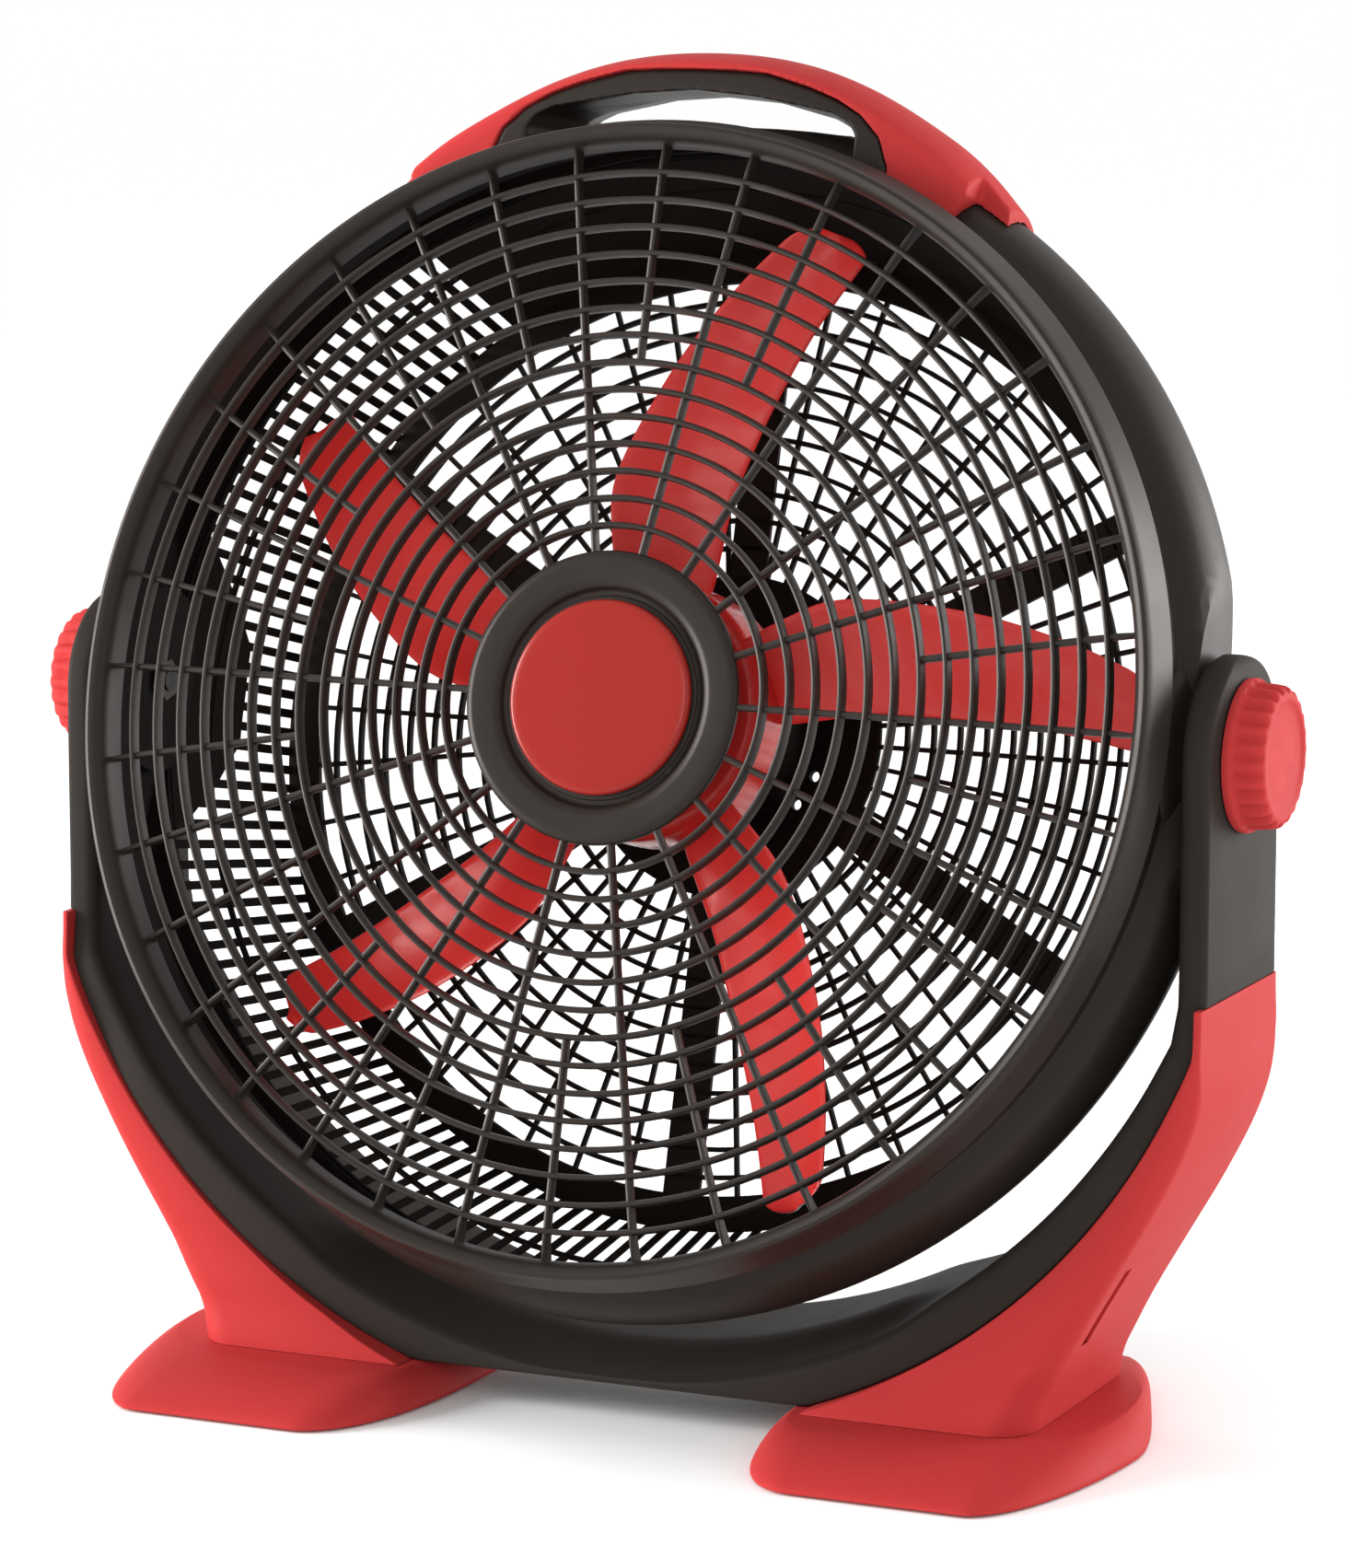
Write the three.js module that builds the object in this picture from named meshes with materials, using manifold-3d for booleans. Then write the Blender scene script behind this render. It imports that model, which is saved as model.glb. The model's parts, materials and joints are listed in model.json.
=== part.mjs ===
// Floor fan: a drum head with front and rear grilles, tilting between the arms of a
// U-shaped yoke on two wide feet. Millimetres, +Z up, the fan blows towards -Y.
// The origin is on the floor, midway between the feet and midway between the feet's
// front ends and the rear guard's top edge, a little behind the tilt axis.

import * as THREE from 'three';
import { mergeVertices } from 'three/addons/utils/BufferGeometryUtils.js';
import Module from 'manifold-3d';

const wasm = await Module();
wasm.setup();

const rad = THREE.MathUtils.degToRad;

// Driving dimensions. In the head, a place along the fan axis is given as its distance
// "ahead" of the tilt axis, towards the front grille, and "up" is the head's own up.
const GAP = 0.3;
const PIVOT_HEIGHT = 314;
const AXIS_Y = -6.15;
const HEAD_TILT = rad(15);

const ARM_OUTER = 279;
const ARM_INNER = 265;
const ARM_HALF_WIDTH = 46;
const YOKE_FRONT = -55;
const YOKE_BACK = 50;
const YOKE_BORE = 289;
const YOKE_CURVE = 295;
const YOKE_CURVE_DROP = 18;
const YOKE_FLAT_HALF = 97;
const CROSSBAR_BORE = 282.5;
const CROSSBAR_FRONT = -32;
const CROSSBAR_SPREAD = 31.5;
const COVER_TOP = -103;

const FOOT_HEIGHT = 17;
const FOOT_REACH = 132;
const FOOT_CENTRE = 157;
const RIM_CENTRE = 161;
const RIM_CORNER = 41;
const RIM_CORE = 39;
const RIM_BULGE = 41;
const RIM_CLOSE = 0.985;
const FOOT_TOP_HALF = 69;
const FOOT_TOP_DEPTH = 81;
const FOOT_TOP_SLANT = 0.16;
const TOP_STEP = rad(15.5);
const TOP_CORNER_TURN = rad(67);
const OUTER_FULLNESS = 2 / 3;
const INNER_FULLNESS = 0.4;
const LEG_BASE = -PIVOT_HEIGHT + FOOT_HEIGHT + GAP;

const OPENING_RADIUS = 248;
const HUB_RADIUS = 64.7;
const RING_COUNT = 3;
const RING_PITCH = 48.8;
const RIB_COUNT = 12;

const DRUM_RADIUS = 273.5;
const GROOVE_RADIUS = 256;
const DRUM_HALF_WIDTH = 262;
const WALL = 3;

const WHEEL_HUB_RADIUS = 60;
const WHEEL_RADIUS = 231;
const BLADE_COUNT = 5;
const SHAFT_RADIUS = 5;
const BORE_RADIUS = SHAFT_RADIUS + GAP;

const REAR_PLANE = -84;
const REAR_BACK = -88;
const REAR_PLATE_RADIUS = 75;
const BAND_INNER = 212.5;
const BAND_OUTER = 229;
const BASKET_MOUTH = 256;
const MOUTH_AHEAD = -20;
const ARM_COUNT = 6;
const ARM_WIDTH = 18;
const SLAT_COUNT = 24;

const HANDLE_FRONT = 34;
const HANDLE_BACK = -20;
const GRIP_HALF = 90;
const FINGER_HALF = 64;
const FLOOR_UP = 263.5;

const MATERIALS = {
  black: { color: 0x3b3735, roughness: 0.62, metalness: 0 },
  red: { color: 0xc2282b, roughness: 0.45, metalness: 0 },
  glossRed: { color: 0xa82a24, roughness: 0.15, metalness: 0 },
  rubber: { color: 0x1c1b1b, roughness: 0.9, metalness: 0 },
  steel: { color: 0x9a9a9c, roughness: 0.35, metalness: 1 },
  copper: { color: 0xb06a3c, roughness: 0.4, metalness: 1 },
  alloy: { color: 0xb4b5b8, roughness: 0.5, metalness: 1 },
};

const model = new THREE.Group();
model.position.set(0, AXIS_Y, 0);
const stand = new THREE.Group();
stand.position.set(0, 0, PIVOT_HEIGHT);
const head = new THREE.Group();
head.position.set(0, 0, PIVOT_HEIGHT);
head.rotation.x = -HEAD_TILT;
model.add(stand, head);

// ---- shape helpers ----

// A closed surface as a solid, whichever way its faces were wound.
function solidOf(geometry) {
  const bare = geometry.index ? geometry.clone() : mergeVertices(geometry);
  bare.deleteAttribute('normal');
  bare.deleteAttribute('uv');
  const merged = mergeVertices(bare, 1e-3);
  const points = merged.attributes.position;
  const corners = [];
  let volume = 0;
  const [a, b, c] = [new THREE.Vector3(), new THREE.Vector3(), new THREE.Vector3()];
  for (let i = 0; i < merged.index.count; i += 3) {
    const [p, q, r] = [0, 1, 2].map((k) => merged.index.getX(i + k));
    if (p === q || q === r || r === p) continue;
    a.fromBufferAttribute(points, p);
    b.fromBufferAttribute(points, q);
    c.fromBufferAttribute(points, r);
    volume += a.dot(b.cross(c));
    corners.push(p, q, r);
  }
  if (volume < 0) {
    for (let i = 0; i < corners.length; i += 3) {
      [corners[i], corners[i + 1]] = [corners[i + 1], corners[i]];
    }
  }
  return new wasm.Manifold(new wasm.Mesh({
    numProp: 3,
    vertProperties: new Float32Array(points.array),
    triVerts: new Uint32Array(corners),
  }));
}

function addPart(group, name, solid, material) {
  const { vertProperties, triVerts } = solid.getMesh();
  const geometry = new THREE.BufferGeometry();
  geometry.setAttribute('position', new THREE.BufferAttribute(vertProperties, 3));
  geometry.setIndex(new THREE.BufferAttribute(triVerts, 1));
  geometry.computeVertexNormals();
  const mesh = new THREE.Mesh(geometry, new THREE.MeshStandardMaterial(MATERIALS[material]));
  mesh.name = name;
  group.add(mesh);
  return mesh;
}

// The value at x on straight lines between a table's [x, value] rows.
function lookup(table, x) {
  const k = Math.max(1, table.findIndex(([edge]) => edge >= x));
  const [[x0, v0], [x1, v1]] = [table[k - 1], table[k]];
  return v0 + ((v1 - v0) * (x - x0)) / (x1 - x0);
}

const joined = (solids) => solids.reduce((whole, piece) => whole.add(piece));
const mirrored = (solid) => solid.mirror([1, 0, 0]);

// A profile of [radius, ahead] corners turned about the fan axis.
function turned(profile, segments = 32, place = [0, 0]) {
  const points = profile.map(([radius, ahead]) => new THREE.Vector2(radius, -ahead));
  const onAxis = profile[0][0] === 0 && profile.at(-1)[0] === 0;
  if (!onAxis) points.push(points[0].clone());
  const geometry = new THREE.LatheGeometry(points, segments);
  return solidOf(geometry.translate(place[0], 0, place[1]));
}

const washer = (inner, outer, from, to, segments, place) =>
  turned([[inner, from], [outer, from], [outer, to], [inner, to]], segments, place);

const disc = (radius, from, to, segments, place) =>
  turned([[0, from], [radius, from], [radius, to], [0, to]], segments, place);

// An outline seen from the front, as [x, z] points, from y = from to y = to.
function frontOutline(outline, from, to) {
  const shape = new THREE.Shape(outline.map(([x, z]) => new THREE.Vector2(x, z)));
  const geometry = new THREE.ExtrudeGeometry(shape, { depth: to - from, bevelEnabled: false });
  return solidOf(geometry.rotateX(Math.PI / 2).translate(0, to, 0));
}

// An outline seen from the side, as [y, z] points, from x = from to x = to.
function sideOutline(outline, from, to) {
  const shape = new THREE.Shape(outline.map(([y, z]) => new THREE.Vector2(y, z)));
  const geometry = new THREE.ExtrudeGeometry(shape, { depth: to - from, bevelEnabled: false });
  geometry.applyMatrix4(new THREE.Matrix4().makeBasis(
    new THREE.Vector3(0, 1, 0), new THREE.Vector3(0, 0, 1), new THREE.Vector3(1, 0, 0)));
  return solidOf(geometry.translate(from, 0, 0));
}

function block([x0, x1], [y0, y1], [z0, z1]) {
  const geometry = new THREE.BoxGeometry(x1 - x0, y1 - y0, z1 - z0);
  return solidOf(geometry.translate((x0 + x1) / 2, (y0 + y1) / 2, (z0 + z1) / 2));
}

// A cylinder along X between two places.
function crossRod(radius, from, to, segments = 24) {
  const geometry = new THREE.CylinderGeometry(radius, radius, to - from, segments);
  return solidOf(geometry.rotateZ(Math.PI / 2).translate((from + to) / 2, 0, 0));
}

// A vertical cylinder at [x, y] between two heights.
function post(radius, [x, y], from, to, segments = 10) {
  const geometry = new THREE.CylinderGeometry(radius, radius, to - from, segments);
  return solidOf(geometry.rotateX(Math.PI / 2).translate(x, y, (from + to) / 2));
}

// Closed rings of points joined into one skin, with a flat cap on each end ring.
function loft(rings) {
  const count = rings[0].length;
  const positions = rings.flat(2);
  const middles = [rings[0], rings.at(-1)].map((ring) =>
    [0, 1, 2].map((k) => ring.reduce((sum, point) => sum + point[k], 0) / count));
  positions.push(...middles.flat());
  const firstMiddle = rings.length * count;
  const faces = [];
  for (let i = 0; i < count; i += 1) {
    const j = (i + 1) % count;
    for (let level = 0; level < rings.length - 1; level += 1) {
      const [low, high] = [level * count, (level + 1) * count];
      faces.push(low + i, low + j, high + j, low + i, high + j, high + i);
    }
    const last = (rings.length - 1) * count;
    faces.push(firstMiddle, j, i, firstMiddle + 1, last + i, last + j);
  }
  const geometry = new THREE.BufferGeometry();
  geometry.setAttribute('position', new THREE.Float32BufferAttribute(positions, 3));
  geometry.setIndex(faces);
  return solidOf(geometry);
}

// A flat bar in the head, from one [radius, ahead] place to another at a given angle.
function radialBar([r0, a0], [r1, a1], angle, width, thickness) {
  const length = Math.hypot(r1 - r0, a1 - a0);
  const geometry = new THREE.BoxGeometry(length, thickness, width);
  geometry.rotateZ(Math.atan2(-(a1 - a0), r1 - r0));
  geometry.translate((r0 + r1) / 2, -(a0 + a1) / 2, 0);
  return solidOf(geometry.rotateY(-angle));
}

const around = (count, start, make) =>
  Array.from({ length: count }, (_, k) => make(start + (k * 2 * Math.PI) / count));

// Points of the yoke's outer curve, from the right arm down to the flat underside.
function yokeCurve(radius, steps = 11) {
  const first = Math.asin((-COVER_TOP - YOKE_CURVE_DROP + 25) / YOKE_CURVE);
  const last = Math.acos(YOKE_FLAT_HALF / YOKE_CURVE);
  return Array.from({ length: steps + 1 }, (_, k) => {
    const angle = first + ((last - first) * k) / steps;
    return [radius * Math.cos(angle), -YOKE_CURVE_DROP - radius * Math.sin(angle)];
  });
}

const flipX = (points) => points.map(([x, z]) => [-x, z]).reverse();

// ---- stand ----

const STEP_IN = 3.5;

function yokeFrame() {
  const outer = [[ARM_OUTER, 46], [ARM_OUTER, COVER_TOP], [ARM_OUTER - STEP_IN, COVER_TOP]];
  const right = [...outer, ...yokeCurve(YOKE_CURVE)];
  const start = Math.acos(ARM_INNER / YOKE_BORE);
  const steps = 24;
  const inner = Array.from({ length: steps + 1 }, (_, k) => {
    const angle = -start - ((Math.PI - 2 * start) * k) / steps;
    return [-YOKE_BORE * Math.cos(angle), YOKE_BORE * Math.sin(angle)];
  });
  const outline = [...right, ...flipX(right), [-ARM_INNER, 46], ...inner, [ARM_INNER, 46]];
  const armTop = Array.from({ length: 13 }, (_, k) => {
    const angle = (Math.PI * k) / 12;
    return [ARM_HALF_WIDTH * Math.cos(angle), 43 * Math.sin(angle)];
  });
  const side = [
    [-ARM_HALF_WIDTH, -95], [-ARM_HALF_WIDTH - 6, -135], [YOKE_FRONT, -180], [YOKE_FRONT, -288],
    [YOKE_FRONT + 5, -300], [YOKE_BACK - 5, -300], [YOKE_BACK, -290], [YOKE_BACK, -150],
    [ARM_HALF_WIDTH, -95], ...armTop];
  const band = frontOutline(outline, -70, 70).intersect(sideOutline(side, -300, 300));
  const padOutline = [[CROSSBAR_BORE, 1], [YOKE_BORE + 3, -1]].flatMap(([radius, sense]) =>
    Array.from({ length: 13 }, (_, k) => {
      const angle = rad(-90 + sense * (k - 6) * (CROSSBAR_SPREAD / 6));
      return [radius * Math.cos(angle), radius * Math.sin(angle)];
    }));
  const crossbarPad = frontOutline(padOutline, CROSSBAR_FRONT, YOKE_BACK);
  return band.add(crossbarPad)
    .subtract(crossRod(BORE_RADIUS, ARM_INNER - 5, ARM_OUTER + 5))
    .subtract(crossRod(BORE_RADIUS, -ARM_OUTER - 5, -ARM_INNER + 5));
}

function legCover() {
  const outerEdge = [
    [ARM_OUTER, COVER_TOP - GAP], [278.5, -145], [271, -168], [257, -196], [242, -222],
    [228, -246], [215, -270], [206, -290], [205, LEG_BASE]];
  const innerEdge = yokeCurve(YOKE_CURVE + GAP).reverse();
  const outline = [
    ...outerEdge, [YOKE_FLAT_HALF + 2, LEG_BASE], ...innerEdge,
    [ARM_OUTER - STEP_IN + GAP, COVER_TOP - GAP]];
  const side = [
    [-52, -100], [-56, -150], [-57, -250], [-60, -275], [-66, -300],
    [62, -300], [56, -275], [53, -250], [52, -150], [48, -100]];
  return frontOutline(outline, -80, 80).intersect(sideOutline(side, 80, 300));
}

// A point on the foot's top edge, turning from the middle of one side towards the end.
function footTop(turn, fullness, side) {
  const x = FOOT_TOP_HALF * Math.cos(turn) ** fullness;
  const depth = FOOT_TOP_DEPTH - side * FOOT_TOP_SLANT * x;
  return [x, depth * Math.sin(turn) ** fullness];
}

// One level of the foot, between its curved rim on the floor and its top edge.
function footRing(height, climb) {
  const rim = Array.from({ length: 5 }, (_, k) => {
    const turn = (k * Math.PI) / 8;
    const half = RIM_CORE + RIM_BULGE * Math.sqrt(1 - (RIM_CLOSE * Math.sin(turn)) ** 2);
    return [half, (FOOT_REACH - 2) * Math.sin(turn)];
  });
  rim.push([RIM_CORNER, FOOT_REACH]);
  const edge = (side, fullness) => {
    const quarter = rim.map(([x, y], k) => {
      const [topX, topY] = footTop(k < 5 ? k * TOP_STEP : TOP_CORNER_TURN, fullness, side);
      return [x + (topX - x) * climb, y + (topY - y) * climb];
    });
    const front = quarter.slice(1).reverse().map(([x, y]) => [x, -y]);
    return [...front, ...quarter].map(([x, y]) => [RIM_CENTRE + side * x, side * y, height]);
  };
  return [...edge(1, OUTER_FULLNESS), ...edge(-1, INNER_FULLNESS)];
}

const PAD_PLACES = [[FOOT_CENTRE, -104], [FOOT_CENTRE, 104]];
const FOOT_SCREW_PLACES = [[FOOT_CENTRE, -34], [FOOT_CENTRE, 34]];

function foot() {
  let solid = loft([
    footRing(1, 0.02), footRing(2.5, 0), footRing(7, 0.16), footRing(12.5, 0.48), footRing(15.5, 0.78),
    footRing(FOOT_HEIGHT, 0.99)]);
  for (const place of PAD_PLACES) solid = solid.subtract(post(9 + GAP, place, 0, 3.3, 16));
  for (const place of FOOT_SCREW_PLACES) {
    solid = solid.subtract(post(2.5, place, 0, 20)).subtract(post(5, place, 0, 7));
  }
  return solid;
}

function footScrew([x, y]) {
  const head_ = post(4.4, [x, y], 3.5, 6.6);
  return head_.add(post(2, [x, y], 6, 30));
}

const footBores = FOOT_SCREW_PLACES.map((place) =>
  post(2.4, place, -PIVOT_HEIGHT, -PIVOT_HEIGHT + 32));
const legRight = footBores.reduce((solid, bore) => solid.subtract(bore), legCover());

addPart(stand, 'yoke_frame', yokeFrame(), 'black');
for (const [side, place] of [['left', mirrored], ['right', (solid) => solid]]) {
  addPart(stand, `leg_cover_${side}`, place(legRight), 'red');
  addPart(model, `foot_${side}`, place(foot()), 'red');
  PAD_PLACES.forEach((spot, k) => {
    const end = ['front', 'back'][k];
    addPart(model, `foot_pad_${side}_${end}`, place(post(9, spot, 0, 3, 16)), 'rubber');
    const screw = footScrew(FOOT_SCREW_PLACES[k]);
    addPart(model, `foot_screw_${side}_${end}`, place(screw), 'steel');
  });
  const ring = crossRod(24, DRUM_HALF_WIDTH + GAP, ARM_INNER - GAP, 28)
    .subtract(crossRod(BORE_RADIUS, DRUM_HALF_WIDTH - 1, ARM_INNER + 1));
  addPart(stand, `friction_washer_${side}`, place(ring), 'rubber');
}

// ---- tilt knobs ----

// One level of the fluted knob, with a groove between every two ridges.
function knobRing(x, ridge, groove) {
  const flutes = 18;
  return Array.from({ length: flutes * 2 }, (_, k) => {
    const radius = k % 2 ? ridge : groove;
    const angle = (k * Math.PI) / flutes;
    return [x, radius * Math.cos(angle), radius * Math.sin(angle)];
  });
}

function tiltKnob() {
  const start = ARM_OUTER + GAP;
  const bodyShape = loft([
    knobRing(start, 33.6, 33.6), knobRing(start + 3.6, 33, 31.2), knobRing(296, 31.4, 30),
    knobRing(297.4, 29.6, 29.2)]);
  const recess = crossRod(24, 296.2, 300, 24);
  return bodyShape.subtract(recess).subtract(crossRod(BORE_RADIUS, start - 1, 288));
}

for (const [side, place] of [['left', mirrored], ['right', (solid) => solid]]) {
  addPart(stand, `tilt_knob_${side}`, place(tiltKnob()), 'red');
  addPart(stand, `pivot_bolt_${side}`, place(crossRod(SHAFT_RADIUS, 249, 287.7)), 'steel');
}

// ---- head: front grille ----

function frontGrille() {
  const hub = turned([
    [0, 55.5], [63.5, 55.5], [65.5, 57.5], [65, 61], [62.5, 62.2], [52, 61.8], [49.5, 60.5],
    [48.5, 58.5], [0, 58.5]], 28);
  const rim = turned([
    [OPENING_RADIUS, 46], [OPENING_RADIUS, 59.5], [250.5, 65], [254.5, 66], [257, 62],
    [261, 47.5], [258.8, 47], [255.4, 61], [251.5, 62], [250.6, 46]], 40);
  const rings = Array.from({ length: RING_COUNT }, (_, k) => {
    const radius = HUB_RADIUS + RING_PITCH * (k + 1);
    return washer(radius - 1.4, radius + 1.4, 55.5, 60.5, 28);
  });
  const ribs = around(RIB_COUNT, 0, (angle) =>
    radialBar([HUB_RADIUS - 2, 57.5], [OPENING_RADIUS + 1, 57.5], angle, 2.8, 3.4));
  return joined([hub, rim, ...rings, ...ribs]);
}

addPart(head, 'front_grille', frontGrille(), 'black');
addPart(head, 'grille_badge', turned([
  [0, 58.5 + GAP], [43.5, 58.5 + GAP], [43.5, 62.2], [42, 63.4], [38, 63.9], [0, 65]], 40),
'glossRed');

// ---- head: drum ----

// The drum's outside, from the front edge back; grow moves it outwards.
const drumOutside = (grow = 0) => [
  [GROOVE_RADIUS - 1 + grow, 54 + grow], [GROOVE_RADIUS + grow, 27.5 + grow],
  [266 + grow, 22.5 + grow], [271.5 + grow, 11], [DRUM_RADIUS + grow, -3],
  [270.5 + grow, -13], [265 + grow, -19 - grow], [258.2, -22 - grow]];
const drumInside = [
  [258.2, -17.5], [266.5, -12], [269.8, -3], [268, 9.5], [263, 19.5], [252.6, 25], [252.2, 54]];

const filledDrum = (grow) => {
  const outside = drumOutside(grow);
  return turned([[0, outside[0][1]], ...outside, [0, outside.at(-1)[1]]], 40);
};

function drumShell() {
  const skin = turned([...drumOutside(), ...drumInside], 40);
  const whole = filledDrum(0);
  const inWidth = block([-DRUM_HALF_WIDTH, DRUM_HALF_WIDTH], [-80, 40], [-300, 300]);
  const recess = block([-66, 66], [-80, 40], [FLOOR_UP, 300]);
  const plates = [
    block([DRUM_HALF_WIDTH - WALL, DRUM_HALF_WIDTH], [-26, 21], [-110, 110]),
    block([-DRUM_HALF_WIDTH, -DRUM_HALF_WIDTH + WALL], [-26, 21], [-110, 110]),
    block([-70, 70], [-26, 21], [FLOOR_UP - WALL, FLOOR_UP])];
  let shell = joined([skin, ...plates.map((plate) => plate.intersect(whole))]);
  shell = shell.intersect(inWidth).subtract(recess);
  return shell
    .subtract(crossRod(BORE_RADIUS, DRUM_HALF_WIDTH - 8, DRUM_HALF_WIDTH + 8))
    .subtract(crossRod(BORE_RADIUS, -DRUM_HALF_WIDTH - 8, -DRUM_HALF_WIDTH + 8));
}

addPart(head, 'drum_shell', drumShell(), 'black');

for (const [side, place] of [['left', mirrored], ['right', (solid) => solid]]) {
  const nut = crossRod(10, 250, DRUM_HALF_WIDTH - WALL - GAP, 6)
    .subtract(crossRod(BORE_RADIUS, 240, DRUM_HALF_WIDTH));
  addPart(head, `pivot_nut_${side}`, place(nut), 'black');
}

// ---- head: rear grille ----

const corners = (radius) => [45, 135, 225, 315].map((turn) =>
  [radius * Math.cos(rad(turn)), radius * Math.sin(rad(turn))]);
const MOTOR_SCREWS = corners(28);
const COVER_SCREWS = corners(38);
const VENT_HOLES = [-19.6, -38.4].map((turn) =>
  [47.3 * Math.cos(rad(turn)), 47.3 * Math.sin(rad(turn))]);

// The basket's outer radius, which widens from the flat back to its mouth.
const basketRadius = (ahead) => BAND_OUTER
  + ((BASKET_MOUTH - BAND_OUTER) * (ahead - REAR_BACK)) / (MOUTH_AHEAD - REAR_BACK);

// A solid stretch of the basket's side, within an angle of a direction from the axis.
function sidePanel(from, facing, halfAngle) {
  const [low, high] = [basketRadius(from), basketRadius(MOUTH_AHEAD)];
  const cone = turned([
    [low - WALL, from], [low, from], [high, MOUTH_AHEAD], [high - WALL, MOUTH_AHEAD]], 40);
  const ray = (angle, length) => [length * Math.cos(angle), length * Math.sin(angle)];
  const wedge = [[0, 0], ray(facing - halfAngle, 320), ray(facing, 500),
    ray(facing + halfAngle, 320)];
  return cone.intersect(frontOutline(wedge, 0, 100));
}

function rearGrille() {
  const middle = (REAR_PLANE + REAR_BACK) / 2;
  const parts = [
    washer(247, 257, -22, -17.8, 40),
    washer(BAND_INNER, BAND_OUTER, REAR_BACK, REAR_PLANE, 40),
    disc(REAR_PLATE_RADIUS, REAR_BACK, REAR_PLANE, 28),
    sidePanel(REAR_BACK, rad(90), rad(35)),
    sidePanel(-46, 0, rad(16)),
    sidePanel(-46, rad(180), rad(16))];
  for (const radius of [110, 145, 180]) {
    parts.push(washer(radius - 1.5, radius + 1.5, REAR_BACK + 0.5, REAR_PLANE, 24));
  }
  parts.push(...around(ARM_COUNT, rad(30), (angle) => radialBar(
    [REAR_PLATE_RADIUS - 4, middle], [BAND_INNER + 5, middle], angle, ARM_WIDTH, 3.6)));
  const start = [basketRadius(REAR_BACK + 1) - 3, REAR_BACK + 2];
  const end = [basketRadius(MOUTH_AHEAD) - 1.6, MOUTH_AHEAD];
  parts.push(...around(SLAT_COUNT, rad(7.5), (angle) => {
    const behindPanel = Math.abs(angle - rad(90)) < rad(35);
    return radialBar(start, behindPanel ? [start[0] + 2, start[1] + 2] : end, angle, 4, 2.6);
  }));
  let solid = joined(parts);
  for (const place of [...MOTOR_SCREWS, ...COVER_SCREWS]) {
    solid = solid.subtract(disc(2, REAR_BACK - 1, REAR_PLANE + 1, 8, place));
  }
  for (const place of VENT_HOLES) {
    solid = solid.subtract(disc(2.5, REAR_BACK - 1, REAR_PLANE + 1, 12, place));
  }
  return solid;
}

addPart(head, 'rear_grille', rearGrille(), 'black');

// ---- head: motor, fixed to the front of the rear plate, under a plastic shroud ----

const MOTOR_RADIUS = 40;
const MOTOR_FRONT = -28;
const bell = (closed, open, step) => turned([
  [11 + GAP, closed], [MOTOR_RADIUS, closed], [MOTOR_RADIUS, open], [37, open],
  [37, closed + 3.2 * step], [14, closed + 3.2 * step], [14, closed + 7.7 * step],
  [11 + GAP, closed + 7.7 * step]], 24);

let rearBell = bell(REAR_PLANE + GAP, -61, 1);
for (const place of MOTOR_SCREWS) {
  rearBell = rearBell.subtract(disc(2, REAR_PLANE, REAR_PLANE + 5, 8, place));
}
addPart(head, 'motor_rear_bell', rearBell, 'alloy');
addPart(head, 'motor_front_bell', bell(MOTOR_FRONT, -47, -1), 'alloy');
addPart(head, 'motor_stator', turned([
  [24, -60.7], [27, -60.7], [27, -69], [35, -69], [35, -60.7], [39.7, -60.7], [39.7, -47.3],
  [35, -47.3], [35, -36], [27, -36], [27, -47.3], [24, -47.3]], 24), 'copper');
addPart(head, 'rear_bearing', washer(BORE_RADIUS, 11, -83.4, -77, 24), 'steel');
addPart(head, 'front_bearing', washer(BORE_RADIUS, 11, -35, -28.3, 24), 'steel');
addPart(head, 'motor_shroud', turned([
  [41, REAR_PLANE + GAP], [44, REAR_PLANE + GAP], [44, -25], [41.5, -22], [12, -22],
  [12, -24.5], [41, -24.5]], 28), 'black');

// ---- rotor ----

addPart(head, 'motor_shaft', disc(SHAFT_RADIUS, -82.7, 34, 20), 'steel');
addPart(head, 'motor_rotor', washer(BORE_RADIUS, 23.4, -63, -45, 28), 'steel');
addPart(head, 'spinner_nut', turned([
  [BORE_RADIUS, 24.3], [14, 24.3], [14, 30], [9, 36], [0, 37.5], [0, 34.3],
  [BORE_RADIUS, 34.3]], 20), 'black');

// A blade at each radius: where its trailing edge stands and how far round it reaches, in
// degrees, how far ahead its middle is, and how much it climbs towards the leading edge.
const BLADE_START = [[57, -1], [80, 2], [100, 3.7], [140, 3], [185, 1.7], [220, 0], [232, -0.5]];
const BLADE_SPAN = [[57, 36], [80, 31.5], [100, 28.5], [140, 20.1], [185, 13.3], [220, 9.3], [232, 8]];
const BLADE_MIDDLE = [[57, 8], [100, 9], [140, 3], [185, -6], [232, -17]];
const BLADE_RISE = [[57, 27], [100, 24.5], [140, 18], [185, 14], [232, 12]];
const TIP_START = 222;

// A blade section: its front face, then its back face, on an arc of one radius.
function bladeSection(radius) {
  const t = Math.max(0, (radius - TIP_START) / (WHEEL_RADIUS - TIP_START));
  const pull = 1 - Math.sqrt(1 - 0.94 * t * t);
  const span = lookup(BLADE_SPAN, radius);
  const from = lookup(BLADE_START, radius) + pull * span * 0.5;
  const steps = 3;
  const face = (lift) => Array.from({ length: steps + 1 }, (_, k) => {
    const along = k / steps;
    const angle = rad(from + span * (1 - pull) * along);
    const ahead = lookup(BLADE_MIDDLE, radius) + lookup(BLADE_RISE, radius) * (along - 0.5)
      - 3 * Math.sin(Math.PI * along) + lift;
    return [radius * Math.cos(angle), -ahead, radius * Math.sin(angle)];
  });
  return [...face(1.1), ...face(-1.1).reverse()];
}

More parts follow.
